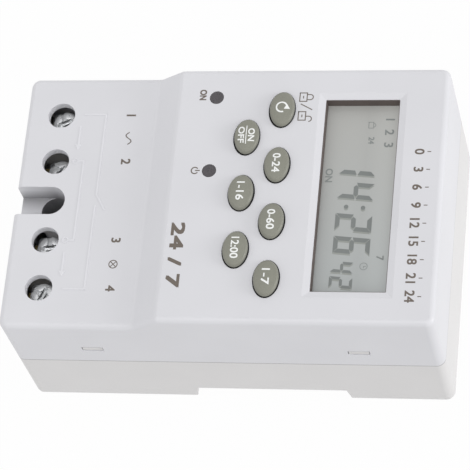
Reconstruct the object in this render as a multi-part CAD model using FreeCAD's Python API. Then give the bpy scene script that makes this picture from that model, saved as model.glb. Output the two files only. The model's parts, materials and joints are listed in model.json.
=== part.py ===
import FreeCAD, Part
import math
import os

# Timer switch for a rail or a wall, lying on its back. All sizes are in millimetres.
# The origin is the middle of the back. +Z runs out of the front, +Y towards the display
# end, -Y towards the terminal end, and +X is the unit's right-hand side.

V = FreeCAD.Vector
AXIS_Y = V(0, 1, 0)
AXIS_Z = V(0, 0, 1)

# Housing
width = 77.0
length = 120.0
deck_height = 46.1              # terminal deck above the back
face_step = 4.9                 # raised face above the deck
seam_height = 24.0              # joint between front cover and rear base
deck_length = 38.0              # terminal end to the foot of the slope
slope_length = 7.1
side_wall = 2.0
front_wall = 2.5
back_wall = 2.0
side_draft = 0.3                # how far each side leans in at the raised face
terminal_end_draft = 0.7
display_end_draft = 0.1
corner_radius = 2.5
inner_corner_radius = 0.5
front_edge_radius = 1.6
back_edge_radius = 0.7
slope_foot_radius = 2.0
slope_top_radius = 2.5

# Tongue and groove at the seam
tongue_height = 2.0
tongue_thickness = 0.8
tongue_gap = 0.1

# Snap hooks of the rear base and their windows in the front cover
snap_window_width = 6.0
snap_window_height = 2.4
snap_window_low = 30.7
snap_from_terminal_end = 23.9
snap_from_display_end = 22.5
snap_arm_thickness = 1.5
snap_arm_root_drop = 9.0
snap_gap = 0.2

# Wells over the terminal screws
terminal_outer_from_side = 12.1
terminal_inner_x = 12.0
terminal_from_end = 10.7
well_diameter = 7.6

# Wall screw: open notch in the deck and a deep well below it
notch_width = 8.3
notch_depth = 7.3
notch_wall = 1.5
wall_screw_from_end = 10.6
wall_screw_hole = 4.5
wall_screw_seat = 3.0
tube_gap = 0.3                  # between the cover's tube and the base's tube

# Terminals
terminal_plate_seat = 31.5      # underside of the plates above the back
terminal_plate_thickness = 1.5
terminal_plate_width = 8.6
terminal_plate_front = 6.6      # from the screw towards the terminal end
terminal_plate_rear = 7.7       # from the screw to the leg
terminal_pin_width = 3.0
terminal_pin_stub = 1.2         # below the power board
screw_diameter = 4.0
screw_head_diameter = 7.0
screw_head_height = 2.4
screw_head_chamfer = 0.35
screw_shank_length = 12.5
screw_head_depths = [4.3, 6.2, 5.1, 4.6]   # head top below the deck, terminal by terminal
screw_recess_turns = [24.0, 52.0, 8.0, 66.0]
screw_slot_width = 1.0
screw_slot_depth = 1.2
screw_cross_length = 4.2
screw_bore_gap = 0.05
clamp_plate_side = 8.0
clamp_plate_thickness = 1.2
clamp_bore_gap = 0.1
clamp_corner = 0.8
clamp_rest_gap = 0.3            # left over the terminal plate with the screw right down
entry_width = 8.0
entry_height = 6.0
entry_corner = 1.5
seat_shaft_side = 5.2
seat_wall = 1.4
seat_shaft_gap = 0.6            # under the screw's tip
partition_thickness = 1.4
partition_top_gap = 0.3

# Keys
key_length = 10.5               # across the unit
key_width = 6.9
key_rise = 2.0                  # crown above the raised face
key_crown = 0.9                 # crown above the rim at the ends of the oval
key_edge = 0.3
key_gap = 0.25
key_pitch = 16.9
key_row_spacing = 9.1
key_row_from_display_end = 45.7
key_flange_rim = 0.9
key_flange_thickness = 1.0
key_flange_gap = 0.05
key_stem_side = 2.6

# Indicators
lens_diameter = 3.8
lens_gap = 0.05
lens_sink = 0.1                 # below the raised face
lens_flange_rim = 0.7
lens_flange_thickness = 0.8
lens_from_side = 9.2
lens_spacing = 22.5
lens_from_display_end = 64.35
lamp_diameter = 3.0
lamp_height = 5.2
lamp_gap = 0.3
lamp_lead = 0.5
lamp_lead_pitch = 1.5

# Display
window_from_side = 9.85
window_width = 20.3
window_from_display_end = 23.65
bevel_width = 1.95
bevel_depth = 0.5
window_rim_wall = 1.2
display_depth = 3.8             # glass below the raised face
glass_margin = 1.85             # under the face beyond each end of the window
front_glass_width = 25.6
glass_ledge_width = 2.5         # of the front glass, left clear by the rear glass on both long sides
front_glass_thickness = 1.1
rear_glass_thickness = 1.2
contact_strip_width = 1.7
contact_strip_end_gap = 2.0     # from each end of the glass
holder_wall = 1.4
holder_gap = 0.2
holder_top_drop = 0.3

# Control board
control_board_below_face = 11.0 # top of the board below the raised face
board_thickness = 1.6
control_board_side_gap = 1.1
control_board_display_gap = 1.4
control_board_start = 1.7       # from the top of the slope towards the keys
control_screw_from_side = 6.9
control_screw_from_display_end = 6.0
control_screw_from_slope = 4.6
control_boss_diameter = 5.6
control_screw_diameter = 2.0
control_screw_head_diameter = 4.2
control_screw_head_height = 1.4
control_screw_length = 6.0
screw_hole_gap = 0.05
screw_tip_gap = 0.5

# Tact switches
tact_side = 6.0
tact_height = 3.5
tact_top_height = 5.0           # plunger top above the board
plunger_side = 3.0
plunger_gap = 0.1
plunger_depth = 1.0             # sunk in the case at rest
key_travel = 0.5
tact_foot_length = 1.0
tact_foot_width = 0.7
tact_foot_pitch = 4.2
tact_foot_thickness = 0.2

# Parts under the control board
chip_side = 12.0
chip_thickness = 1.4
chip_from_side = 23.5
chip_from_display_end = 27.0
chip_pins_per_side = 6
chip_pin_pitch = 1.6
chip_pin_width = 0.6
chip_pin_reach = 1.0
chip_pin_thickness = 0.3
crystal_diameter = 2.0
crystal_length = 6.0
cell_diameter = 20.0
cell_thickness = 3.2
cell_edge = 0.5
cell_from_side = 20.5
cell_from_display_end = 28.0
tab_thickness = 0.3
tab_width = 5.0
tab_reach = 3.0

# Ribbon cable
ribbon_width = 10.2
ribbon_thickness = 1.0
ribbon_from_side = 16.5
ribbon_from_relay = 10.0
ribbon_bow = 3.0

# Rail recess in the back, rail hooks and rail clip
rail_centre_from_display_end = 50.75
rail_width = 35.0
rail_flange = 1.0
recess_depth = 5.6
recess_floor_width = 42.2
recess_mouth_width = 44.0
recess_wall = 2.0
hook_overlap = 1.35
hook_thickness = 1.8
hook_width = 8.0
hook_x = 14.0
hook_lead = 1.0
rail_play = 0.2
clip_half_width = 8.0
clip_mouth_half_width = 6.1
clip_gap = 0.3
clip_back_gap = 0.4
clip_mouth_thickness = 1.1
clip_thickness = 3.2
clip_travel = 3.0
clip_tail_from_recess = 27.0
pry_slot_width = 5.2
pry_slot_length = 1.6
pry_slot_from_tail = 1.8
spring_strip_thickness = 0.6
spring_half_width = 2.6
spring_folds = 7
spring_length = 11.6
spring_pocket_play = 0.2
spring_pocket_half_width = 3.0
spring_pocket_floor = 0.5
spring_start_from_recess = 5.8
stop_lug_thickness = 2.0
stop_lug_half_width = 2.4

# Keyhole for a hanging screw
keyhole_entry_diameter = 8.4
keyhole_slot_width = 4.4
keyhole_run = 7.0
keyhole_from_display_end = 17.5
keyhole_pocket_depth = 3.0
keyhole_pocket_gap = 0.6
keyhole_pocket_wall = 1.4

# Power board and its screws
power_board_height = 12.4
power_board_side_gap = 2.2
power_board_display_gap = 1.6
power_board_tube_gap = 0.5
power_screw_from_side = 7.7
power_screw_from_display_end = 10.0
power_boss_diameter = 5.6
power_screw_diameter = 2.4
power_screw_head_diameter = 4.6
power_screw_head_height = 1.6
power_screw_length = 8.0
board_slot_gap = 0.1

# Relay
relay_from_side = 22.0
relay_from_load_link = 1.3
relay_size_x = 27.0
relay_size_y = 32.0
relay_size_z = 20.0
relay_case_wall = 1.0
relay_case_corner = 0.8
relay_case_gap = 0.1
relay_base_thickness = 2.5
relay_coil_offset = 2.5
yoke_thickness = 1.4
yoke_half_width = 6.5
yoke_leg_inner = 7.5
core_diameter = 6.0
core_gap = 0.1
pole_diameter = 9.0
pole_thickness = 0.6
bobbin_side = 14.2
bobbin_flange = 1.0
bobbin_bore_wall = 0.6
bobbin_height = 10.4
winding_diameter = 13.2
armature_thickness = 1.4
armature_gap = 0.8              # air gap over the pole
armature_reach = 8.5
armature_tail = 1.6
hinge_gap = 0.08
blade_thickness = 0.4
blade_half_width = 2.5
blade_reach = 16.0
contact_reach = 14.5
contact_diameter = 3.0
contact_thickness = 1.0
contact_strip_thickness = 0.8
relay_close_deg = 3.1
contact_rest_gap = 0.08         # left between the contacts when the relay has closed
leaf_thickness = 0.25
leaf_half_width = 3.0
leaf_drop = 9.0
leaf_lift = 0.25                # above the armature's tail, which rises as the relay closes
leaf_tail_gap = 0.3
leaf_lip = 1.6

# Other parts on the power board
dropper_size_x = 10.0
dropper_size_y = 26.0
dropper_size_z = 18.5
dropper_edge_radius = 1.0
smoother_from_side = 12.5
smoother_from_relay_middle = 11.0
smoother_diameter = 13.0
smoother_height = 21.0
smoother_groove_height = 3.2
smoother_groove_depth = 0.7
varistor_from_side = 14.5
varistor_from_relay_middle = 8.0
varistor_diameter = 12.0
varistor_thickness = 4.5
varistor_rise = 1.5
varistor_edge = 1.2
lead_side = 0.7
bridge_x = 9.0
bridge_from_display_end = 44.0
bridge_size_x = 8.5
bridge_size_y = 6.5
bridge_thickness = 3.3
bridge_rise = 0.5
bridge_leg_pitch_x = 5.1
bridge_leg_pitch_y = 5.1
resistors_from_display_end = 28.0
resistor_first_x = 4.0
resistor_pitch = 7.5
resistor_count = 2
resistor_diameter = 3.4
resistor_length = 9.0
axial_rise = 0.6
axial_lead_reach = 2.0

# Copper links
link_thickness = 0.8
link_width = 3.0
load_link_width = 2.2
link_spacing = 0.6

# Working sizes for cutting and for picking edges
overrun = 1.0                   # how far a cut reaches past the piece it cuts
same = 0.01
near = 0.1

# Places worked out from the sizes above
half_width = width / 2
half_length = length / 2
face_height = deck_height + face_step
face_underside = face_height - front_wall
deck_underside = deck_height - front_wall
slope_foot_y = -half_length + deck_length
slope_top_y = slope_foot_y + slope_length
terminal_y = -half_length + terminal_from_end
terminal_outer_x = half_width - terminal_outer_from_side
terminal_xs = [-terminal_outer_x, -terminal_inner_x, terminal_inner_x, terminal_outer_x]
wall_screw_y = -half_length + wall_screw_from_end
notch_radius = notch_width / 2
notch_floor = deck_height - notch_depth
tube_outer_radius = notch_radius + notch_wall
terminal_plate_top = terminal_plate_seat + terminal_plate_thickness
key_row_y = half_length - key_row_from_display_end
key_lower_row_y = key_row_y - key_row_spacing
lens_y = half_length - lens_from_display_end
lens_left_x = -half_width + lens_from_side
lens_right_x = lens_left_x + lens_spacing
window_length = width - 2 * window_from_side
window_y = half_length - window_from_display_end
glass_length = window_length + 2 * glass_margin
rear_glass_width = front_glass_width - 2 * glass_ledge_width
contact_strip_length = glass_length - 2 * contact_strip_end_gap
glass_top = face_height - display_depth
control_board_top = face_height - control_board_below_face
control_board_height = control_board_top - board_thickness
control_screw_x = half_width - control_screw_from_side
chip_x = -half_width + chip_from_side
cell_x = half_width - cell_from_side
crystal_x = (chip_x + chip_side / 2 + cell_x - cell_diameter / 2) / 2
power_board_top = power_board_height + board_thickness
power_screw_x = half_width - power_screw_from_side
rail_centre_y = half_length - rail_centre_from_display_end
recess_floor_low_y = rail_centre_y - recess_floor_width / 2
recess_floor_high_y = rail_centre_y + recess_floor_width / 2
recess_mouth_high_y = rail_centre_y + recess_mouth_width / 2
hook_top = recess_depth - rail_flange - rail_play
hook_bottom = hook_top - hook_thickness
clip_bottom = clip_back_gap + clip_mouth_thickness
clip_top = clip_bottom + clip_thickness
channel_top = clip_top + clip_gap
clip_nose_y = rail_centre_y - rail_width / 2 + hook_overlap
clip_tail_y = recess_floor_low_y - clip_tail_from_recess
spring_start_y = recess_floor_low_y - spring_start_from_recess
stop_lug_y = spring_start_y - spring_length
keyhole_entry_y = half_length - keyhole_from_display_end
power_board_low_y = wall_screw_y + tube_outer_radius + power_board_tube_gap
terminal_leg_y = terminal_y + terminal_plate_rear
legs_inner_y = terminal_leg_y + terminal_plate_thickness
load_link_low_y = legs_inner_y + link_width + link_spacing
relay_x = -half_width + relay_from_side
relay_y = load_link_low_y + load_link_width + relay_from_load_link + relay_size_y / 2
ribbon_x = -half_width + ribbon_from_side
ribbon_y = relay_y + relay_size_y / 2 + ribbon_from_relay
smoother_x = half_width - smoother_from_side
smoother_y = relay_y + smoother_from_relay_middle
varistor_x = half_width - varistor_from_side
varistor_y = relay_y - varistor_from_relay_middle
dropper_x = (relay_x + relay_size_x / 2 + varistor_x - varistor_diameter / 2) / 2
bridge_y = half_length - bridge_from_display_end
resistor_row_y = half_length - resistors_from_display_end
relay_floor = power_board_top + relay_base_thickness
coil_y = relay_y + relay_coil_offset
bobbin_low = relay_floor + yoke_thickness
pole_low = bobbin_low + bobbin_height + core_gap
pole_top = pole_low + pole_thickness
armature_low = pole_top + armature_gap
hinge_y = coil_y + yoke_leg_inner + yoke_thickness / 2

KEY_PLACES = {
    "reset": (-1.5 * key_pitch, key_row_y),
    "hour": (-0.5 * key_pitch, key_row_y),
    "minute": (0.5 * key_pitch, key_row_y),
    "week": (1.5 * key_pitch, key_row_y),
    "auto": (-1.0 * key_pitch, key_lower_row_y),
    "timer": (0.0, key_lower_row_y),
    "clock": (1.0 * key_pitch, key_lower_row_y),
}


def box(x0, x1, y0, y1, z0, z1):
    return Part.makeBox(x1 - x0, y1 - y0, z1 - z0, V(x0, y0, z0))


def rod(radius, x, y, z0, z1):
    return Part.makeCylinder(radius, z1 - z0, V(x, y, z0), AXIS_Z)


def square_rod(side, x, y, z0, z1):
    return box(x - side / 2, x + side / 2, y - side / 2, y + side / 2, z0, z1)


def rod_along_y(radius, x, z, y0, y1):
    return Part.makeCylinder(radius, y1 - y0, V(x, y0, z), AXIS_Y)


def fuse(shapes):
    """One solid from touching shapes."""
    whole = shapes[0]
    for shape in shapes[1:]:
        whole = whole.fuse(shape)
    return whole.removeSplitter()


def prism_along_x(points_yz, x0, x1):
    corners = [V(x0, y, z) for y, z in points_yz]
    face = Part.Face(Part.makePolygon(corners + corners[:1]))
    return face.extrude(V(x1 - x0, 0, 0))


def prism_along_y(points_xz, y0, y1):
    corners = [V(x, y0, z) for x, z in points_xz]
    face = Part.Face(Part.makePolygon(corners + corners[:1]))
    return face.extrude(V(0, y1 - y0, 0))


def prism_along_z(points_xy, z0, z1):
    corners = [V(x, y, z0) for x, y in points_xy]
    face = Part.Face(Part.makePolygon(corners + corners[:1]))
    return face.extrude(V(0, 0, z1 - z0))


def oval_prism(half_x, half_y, x, y, z0, z1):
    outline = Part.Edge(Part.Ellipse(V(x, y, z0), half_x, half_y))
    return Part.Face(Part.Wire(outline)).extrude(V(0, 0, z1 - z0))


def long_slot(half_w, x, y0, y1, z0, z1):
    """Slot with round ends whose centres are at y0 and y1."""
    return fuse([rod(half_w, x, y0, z0, z1), box(x - half_w, x + half_w, y0, y1, z0, z1),
                 rod(half_w, x, y1, z0, z1)])


def rim_edges(shape, lies_on):
    """Edges that belong to exactly one of the faces picked by lies_on."""
    found = []
    for face in shape.Faces:
        if not lies_on(face):
            continue
        for edge in face.OuterWire.Edges:
            twin = [other for other in found if other.isSame(edge)]
            if twin:
                found.remove(twin[0])
            else:
                found.append(edge)
    return found


def face_slope(face):
    """Z part of the outward normal in the middle of a face."""
    u0, u1, v0, v1 = face.ParameterRange
    return face.normalAt((u0 + u1) / 2, (v0 + v1) / 2).z


def side_lean(z):
    return side_draft * z / face_height


def terminal_end_y(z, inset):
    return -half_length + terminal_end_draft * z / face_height + inset


def display_end_y(z, inset):
    return half_length - display_end_draft * z / face_height - inset


def housing_form(inset, top_inset, bottom):
    """Stepped block of the whole housing, drawn in by its walls and cut off at bottom."""
    face_z = face_height - top_inset
    deck_z = deck_height - top_inset
    half_angle = math.atan2(face_step, slope_length) / 2
    shift = top_inset * math.tan(half_angle)
    profile = [
        (terminal_end_y(bottom, inset), bottom),
        (display_end_y(bottom, inset), bottom),
        (display_end_y(face_z, inset), face_z),
        (slope_top_y + shift, face_z),
        (slope_foot_y + shift, deck_z),
        (terminal_end_y(deck_z, inset), deck_z),
    ]
    form = prism_along_x(profile, -half_width, half_width)
    low_half = half_width - side_lean(bottom) - inset
    high_half = half_width - side_lean(face_z) - inset
    leaning = [(-low_half, bottom), (low_half, bottom), (high_half, face_z), (-high_half, face_z)]
    form = form.common(prism_along_y(leaning, -half_length, half_length))
    uprights = [e for e in form.Edges if e.BoundBox.ZLength > face_z / 3
                and e.BoundBox.YLength < slope_length / 2]
    return form.makeFillet(max(corner_radius - inset, inner_corner_radius), uprights)


def rounded_housing():
    """The outer form with its slope, front and back edges rounded."""
    form = housing_form(0.0, 0.0, 0.0)
    for radius, y, z in ((slope_foot_radius, slope_foot_y, deck_height),
                         (slope_top_radius, slope_top_y, face_height)):
        fold = [e for e in form.Edges if e.BoundBox.XLength > width / 2
                and abs(e.CenterOfMass.y - y) < near and abs(e.CenterOfMass.z - z) < near]
        form = form.makeFillet(radius, fold)
    front = rim_edges(form, lambda face: face_slope(face) > 0.5)
    form = form.makeFillet(front_edge_radius, front)
    back = rim_edges(form, lambda face: face_slope(face) < -0.5)
    return form.makeFillet(back_edge_radius, back)


def snap_places():
    """Middle of each snap window along the unit."""
    return [-half_length + snap_from_terminal_end, half_length - snap_from_display_end]


def front_cover():
    """White front half: deck, slope, raised face, wells, key holes and display window."""
    outside = rounded_housing()
    above_seam = box(-width, width, -length, length, seam_height, face_height + overrun)
    shell = outside.common(above_seam).cut(housing_form(side_wall, front_wall, back_wall))
    groove_low = housing_form(side_wall - tongue_thickness - tongue_gap, front_wall, back_wall)
    groove_height = seam_height + tongue_height + tongue_gap
    groove = groove_low.common(box(-width, width, -length, length, 0, groove_height))
    shell = shell.cut(groove)

    channel = notch_form(tube_outer_radius, notch_floor - notch_wall)
    channel = channel.common(outside)
    tube = rod(tube_outer_radius, 0, wall_screw_y, seam_height + tube_gap, notch_floor)
    shell = fuse([shell, channel, tube])
    shell = shell.cut(notch_form(notch_radius, notch_floor))
    shell = shell.cut(rod(notch_radius, 0, wall_screw_y, 0, face_height))

    rim = box(-window_length / 2 - window_rim_wall, window_length / 2 + window_rim_wall,
              window_y - window_width / 2 - window_rim_wall,
              window_y + window_width / 2 + window_rim_wall,
              glass_top, face_underside)
    bosses = [rod(control_boss_diameter / 2, x, y, control_board_top, face_underside)
              for x, y in control_screw_places()]
    shell = fuse([shell, rim] + bosses)
    shell = shell.cut(box(-window_length / 2, window_length / 2,
                          window_y - window_width / 2, window_y + window_width / 2,
                          0, face_height + overrun))
    shell = shell.cut(window_bevel())
    for x, y in control_screw_places():
        shell = shell.cut(rod(control_screw_diameter / 2 + screw_hole_gap, x, y,
                              0, control_board_height + control_screw_length + screw_tip_gap))
    for x, y in KEY_PLACES.values():
        shell = shell.cut(oval_prism(key_length / 2 + key_gap, key_width / 2 + key_gap,
                                     x, y, face_underside - overrun, face_height + overrun))
    for x in (lens_left_x, lens_right_x):
        shell = shell.cut(rod(lens_diameter / 2 + lens_gap, x, lens_y,
                              face_underside - overrun, face_height + overrun))
    for x in terminal_xs:
        shell = shell.cut(rod(well_diameter / 2, x, terminal_y,
                              deck_underside - overrun, deck_height + overrun))
        shell = shell.cut(wire_entry(x))
    for side in (-1, 1):
        for y in snap_places():
            shell = shell.cut(snap_window(side, y))
    return shell


def notch_form(radius, floor):
    """Straight notch from the terminal end to a round end about the wall screw."""
    high = deck_height + overrun
    return fuse([rod(radius, 0, wall_screw_y, floor, high),
                 box(-radius, radius, -half_length - overrun, wall_screw_y, floor, high)])


def window_bevel():
    """Shallow sloping frame round the display window."""
    outer_x = window_length / 2 + bevel_width
    outer_y = window_width / 2 + bevel_width
    wires = []
    for half_x, half_y, z in ((outer_x, outer_y, face_height),
                              (window_length / 2, window_width / 2, face_height - bevel_depth)):
        corners = [V(-half_x, window_y - half_y, z), V(half_x, window_y - half_y, z),
                   V(half_x, window_y + half_y, z), V(-half_x, window_y + half_y, z)]
        wires.append(Part.makePolygon(corners + corners[:1]))
    slope = Part.makeLoft(wires, True, True)
    lid = box(-outer_x, outer_x, window_y - outer_y, window_y + outer_y,
              face_height, face_height + overrun)
    return slope.fuse(lid)


def wire_entry(x):
    """Mouth in the terminal end for one wire, with its upper corners rounded."""
    low = terminal_plate_top
    high = low + entry_height
    mouth = box(x - entry_width / 2, x + entry_width / 2, -half_length - overrun,
                -half_length + side_wall + terminal_end_draft + overrun, low, high)
    return mouth.makeFillet(entry_corner, [e for e in mouth.Edges if e.BoundBox.ZMin > high - same
                                           and e.BoundBox.YLength > entry_corner])


def snap_window(side, y):
    outer = side * (half_width + overrun)
    inner = side * (half_width - side_wall - overrun)
    return box(min(outer, inner), max(outer, inner),
               y - snap_window_width / 2, y + snap_window_width / 2,
               snap_window_low, snap_window_low + snap_window_height)


def control_screw_places():
    """Two opposite corners of the control board."""
    return [(control_screw_x, slope_top_y + control_screw_from_slope),
            (-control_screw_x, half_length - control_screw_from_display_end)]


def power_screw_places():
    """Two corners of the power board; the terminal legs hold its other end."""
    return [(x, half_length - power_screw_from_display_end) for x in (-power_screw_x, power_screw_x)]


def recess_form(grow, depth):
    """Rail recess: a channel right across the back with leaning walls."""
    lean = (recess_mouth_width - recess_floor_width) / 2
    low = recess_floor_low_y - grow
    high = recess_floor_high_y + grow
    lean_below = lean * overrun / recess_depth
    profile = [(low - lean - lean_below, -overrun), (low, depth), (high, depth),
               (high + lean + lean_below, -overrun)]
    return prism_along_x(profile, -half_width - overrun, half_width + overrun)


def rear_base():
    """White rear half: rail recess, clip channel, bosses, terminal seats and snap hooks."""
    below_seam = box(-width, width, -length, length, -overrun, seam_height)
    shell = rounded_housing().common(below_seam)
    hollow = housing_form(side_wall, front_wall, back_wall)
    hollow = hollow.cut(recess_form(recess_wall, recess_depth + recess_wall))
    channel_low = clip_tail_y - clip_travel - clip_gap
    channel_half = clip_half_width + clip_gap
    hollow = hollow.cut(box(-channel_half - recess_wall, channel_half + recess_wall,
                            channel_low - recess_wall, rail_centre_y,
                            0, channel_top + recess_wall))
    pocket_half = (keyhole_entry_diameter / 2 + keyhole_pocket_gap)
    pocket_top = back_wall + keyhole_pocket_depth
    hollow = hollow.cut(long_slot(pocket_half + keyhole_pocket_wall, 0, keyhole_entry_y,
                                  keyhole_entry_y + keyhole_run, 0,
                                  pocket_top + keyhole_pocket_wall))
    shell = shell.cut(hollow)

    tongue_outer = housing_form(side_wall - tongue_thickness, front_wall, back_wall)
    tongue = tongue_outer.cut(housing_form(side_wall, front_wall, back_wall - overrun))
    tongue = tongue.common(box(-width, width, -length, length,
                               seam_height - overrun, seam_height + tongue_height))
    pieces = [shell, tongue]
    pieces += [rod(power_boss_diameter / 2, x, y, back_wall / 2, power_board_height)
               for x, y in power_screw_places()]
    pieces.append(rod(tube_outer_radius, 0, wall_screw_y, back_wall / 2, seam_height))
    pieces += [terminal_seat(x) for x in terminal_xs]
    pieces += [partition(side) for side in (-1, 1)]
    pieces += [snap_arm(side, y) for side in (-1, 1) for y in snap_places()]
    shell = fuse(pieces)

    shell = shell.cut(recess_form(0.0, recess_depth))
    shell = shell.cut(box(-channel_half, channel_half, channel_low,
                          rail_centre_y, clip_bottom - clip_gap, channel_top))
    mouth_half = clip_mouth_half_width + clip_gap
    shell = shell.cut(box(-mouth_half, mouth_half, channel_low, rail_centre_y, -overrun, clip_bottom))
    shell = shell.cut(rod(notch_radius, 0, wall_screw_y, wall_screw_seat, seam_height + overrun))
    shell = shell.cut(rod(wall_screw_hole / 2, 0, wall_screw_y, -overrun, seam_height))
    shell = shell.cut(rod(keyhole_entry_diameter / 2, 0, keyhole_entry_y, -overrun, pocket_top))
    shell = shell.cut(long_slot(keyhole_slot_width / 2, 0, keyhole_entry_y,
                                keyhole_entry_y + keyhole_run, -overrun, pocket_top))
    shell = shell.cut(long_slot(pocket_half, 0, keyhole_entry_y,
                                keyhole_entry_y + keyhole_run, back_wall, pocket_top))
    for x, y in power_screw_places():
        shell = shell.cut(rod(power_screw_diameter / 2 + screw_hole_gap, x, y,
                              power_board_top - power_screw_length - screw_tip_gap,
                              power_board_height + overrun))
    for x in terminal_xs:
        shell = shell.cut(square_rod(seat_shaft_side, x, terminal_y,
                                     lowest_screw_tip() - seat_shaft_gap,
                                     terminal_plate_seat + overrun))
    hooks = [rail_hook(x) for x in (-hook_x, hook_x)]
    return fuse([shell] + hooks + [stop_lug()])


def lowest_head_bottom():
    return terminal_plate_top + clamp_rest_gap + clamp_plate_thickness


def lowest_screw_tip():
    return lowest_head_bottom() - screw_shank_length


def terminal_seat(x):
    """Square tower that carries one terminal plate and leaves a shaft for its screw."""
    return square_rod(seat_shaft_side + 2 * seat_wall, x, terminal_y,
                      back_wall / 2, terminal_plate_seat)


def partition(side):
    """Wall between two neighbouring terminals."""
    middle = side * (terminal_outer_x + terminal_inner_x) / 2
    top = deck_underside - partition_top_gap
    low_y = terminal_end_y(top, side_wall) + tube_gap
    return box(middle - partition_thickness / 2, middle + partition_thickness / 2,
               low_y, power_board_low_y - power_board_tube_gap, back_wall / 2, top)


def snap_arm(side, y):
    """Springy arm beside the cover's wall, with a nose that fills the snap window."""
    wall_inside = half_width - side_lean(snap_window_low) - side_wall
    arm_outer = wall_inside - snap_gap
    arm_inner = arm_outer - snap_arm_thickness
    nose_outer = half_width - side_lean(snap_window_low) - snap_gap
    root_outer = half_width - side_wall + snap_gap
    low = snap_window_low + snap_gap
    high = snap_window_low + snap_window_height - snap_gap
    root_low = seam_height - snap_arm_root_drop
    profile = [(arm_inner, root_low + snap_arm_thickness), (root_outer, root_low),
               (root_outer, seam_height - tongue_gap), (arm_outer, seam_height - tongue_gap),
               (arm_outer, low), (nose_outer, low), (nose_outer, high - snap_gap * 3),
               (arm_outer, high), (arm_inner, high)]
    half = snap_window_width / 2 - snap_gap
    points = [(side * px, pz) for px, pz in profile]
    return prism_along_y(points, y - half, y + half)


def rail_hook(x):
    """Fixed hook that grips the far edge of the rail."""
    tip = rail_centre_y + rail_width / 2 - hook_overlap
    root = recess_mouth_high_y + recess_wall / 2
    profile = [(tip, hook_top), (tip, hook_bottom + hook_lead), (tip + hook_lead, hook_bottom),
               (root, hook_bottom), (root, hook_top)]
    return prism_along_x(profile, x - hook_width / 2, x + hook_width / 2)


def stop_lug():
    """Stop in the roof of the clip channel: it takes the spring and holds the clip in."""
    return box(-stop_lug_half_width, stop_lug_half_width,
               stop_lug_y - stop_lug_thickness, stop_lug_y,
               clip_bottom + spring_pocket_floor + clip_gap, channel_top + recess_wall / 2)


def rail_clip():
    """Sliding clip with a bevelled nose for the rail, a spring pocket and a pry slot."""
    body_front = recess_floor_low_y - clip_gap
    wide = box(-clip_half_width, clip_half_width, clip_tail_y, body_front, clip_bottom, clip_top)
    narrow = box(-clip_mouth_half_width, clip_mouth_half_width, clip_tail_y, body_front,
                 clip_back_gap, clip_bottom)
    nose_root = body_front - overrun
    nose = prism_along_x([(nose_root, hook_bottom), (clip_nose_y - hook_lead, hook_bottom),
                          (clip_nose_y, hook_bottom + hook_lead), (clip_nose_y, hook_top),
                          (nose_root, hook_top)],
                         -clip_mouth_half_width, clip_mouth_half_width)
    body = fuse([wide, narrow, nose])
    pocket_low = stop_lug_y - stop_lug_thickness - clip_gap
    body = body.cut(box(-spring_pocket_half_width, spring_pocket_half_width,
                        pocket_low, spring_start_y,
                        clip_bottom + spring_pocket_floor, clip_top + overrun))
    slot_y = clip_tail_y + pry_slot_from_tail
    return body.cut(box(-pry_slot_width / 2, pry_slot_width / 2, slot_y, slot_y + pry_slot_length,
                        0, clip_top + overrun))


def rail_clip_spring():
    """Zigzag strip spring between the stop lug and the front of the clip's pocket."""
    rise = spring_strip_thickness
    step = (spring_length - rise) / spring_folds
    low = clip_bottom + spring_pocket_floor + spring_pocket_play
    high = channel_top - spring_pocket_play
    leaves = []
    for fold in range(spring_folds):
        start_x = spring_half_width if fold % 2 else -spring_half_width
        start_y = stop_lug_y + fold * step
        end_y = start_y + step
        outline = [(start_x, start_y), (-start_x, end_y), (-start_x, end_y + rise),
                   (start_x, start_y + rise)]
        leaves.append(prism_along_z(outline, low, high))
    return fuse(leaves)


def key_cap(x, y):
    """Domed oval key with a square-cornered flange under the cover and a stem on its switch."""
    crown_z = face_height + key_rise
    flange_top = face_underside - key_flange_gap
    flange_low = flange_top - key_flange_thickness
    half_x = key_length / 2
    dome_radius = (half_x ** 2 + key_crown ** 2) / (2 * key_crown)
    cap = oval_prism(half_x, key_width / 2, x, y, flange_low, crown_z + overrun)
    dome = Part.makeSphere(dome_radius, V(x, y, crown_z - dome_radius))
    cap = cap.common(dome)
    rim = rim_edges(cap, lambda face: face_slope(face) > 0.5)
    cap = cap.makeChamfer(key_edge, rim)
    flange_x = half_x + key_flange_rim
    flange_y = key_width / 2 + key_flange_rim
    flange = box(x - flange_x, x + flange_x, y - flange_y, y + flange_y, flange_low, flange_top)
    stem = square_rod(key_stem_side, x, y, control_board_top + tact_top_height, flange_low)
    return fuse([cap, flange, stem])


def tact_plunger(x, y):
    top = control_board_top + tact_top_height
    low = control_board_top + tact_height - plunger_depth
    return square_rod(plunger_side, x, y, low, top)


def tact_switches():
    """Seven switch cases, each with a square hole for its plunger and four flat feet."""
    cases = []
    half = tact_side / 2
    low = control_board_top
    for x, y in KEY_PLACES.values():
        case = square_rod(tact_side, x, y, low, low + tact_height)
        case = case.cut(square_rod(plunger_side + 2 * plunger_gap, x, y,
                                   low + tact_height - plunger_depth - key_travel - plunger_gap,
                                   low + tact_height + overrun))
        feet = []
        for sx in (-1, 1):
            for sy in (-1, 1):
                inner = x + sx * half
                outer = x + sx * (half + tact_foot_length)
                foot_y = y + sy * tact_foot_pitch / 2
                feet.append(box(min(inner, outer), max(inner, outer),
                                foot_y - tact_foot_width / 2, foot_y + tact_foot_width / 2,
                                low, low + tact_foot_thickness))
        cases.append(fuse([case] + feet))
    return Part.makeCompound(cases)


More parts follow.
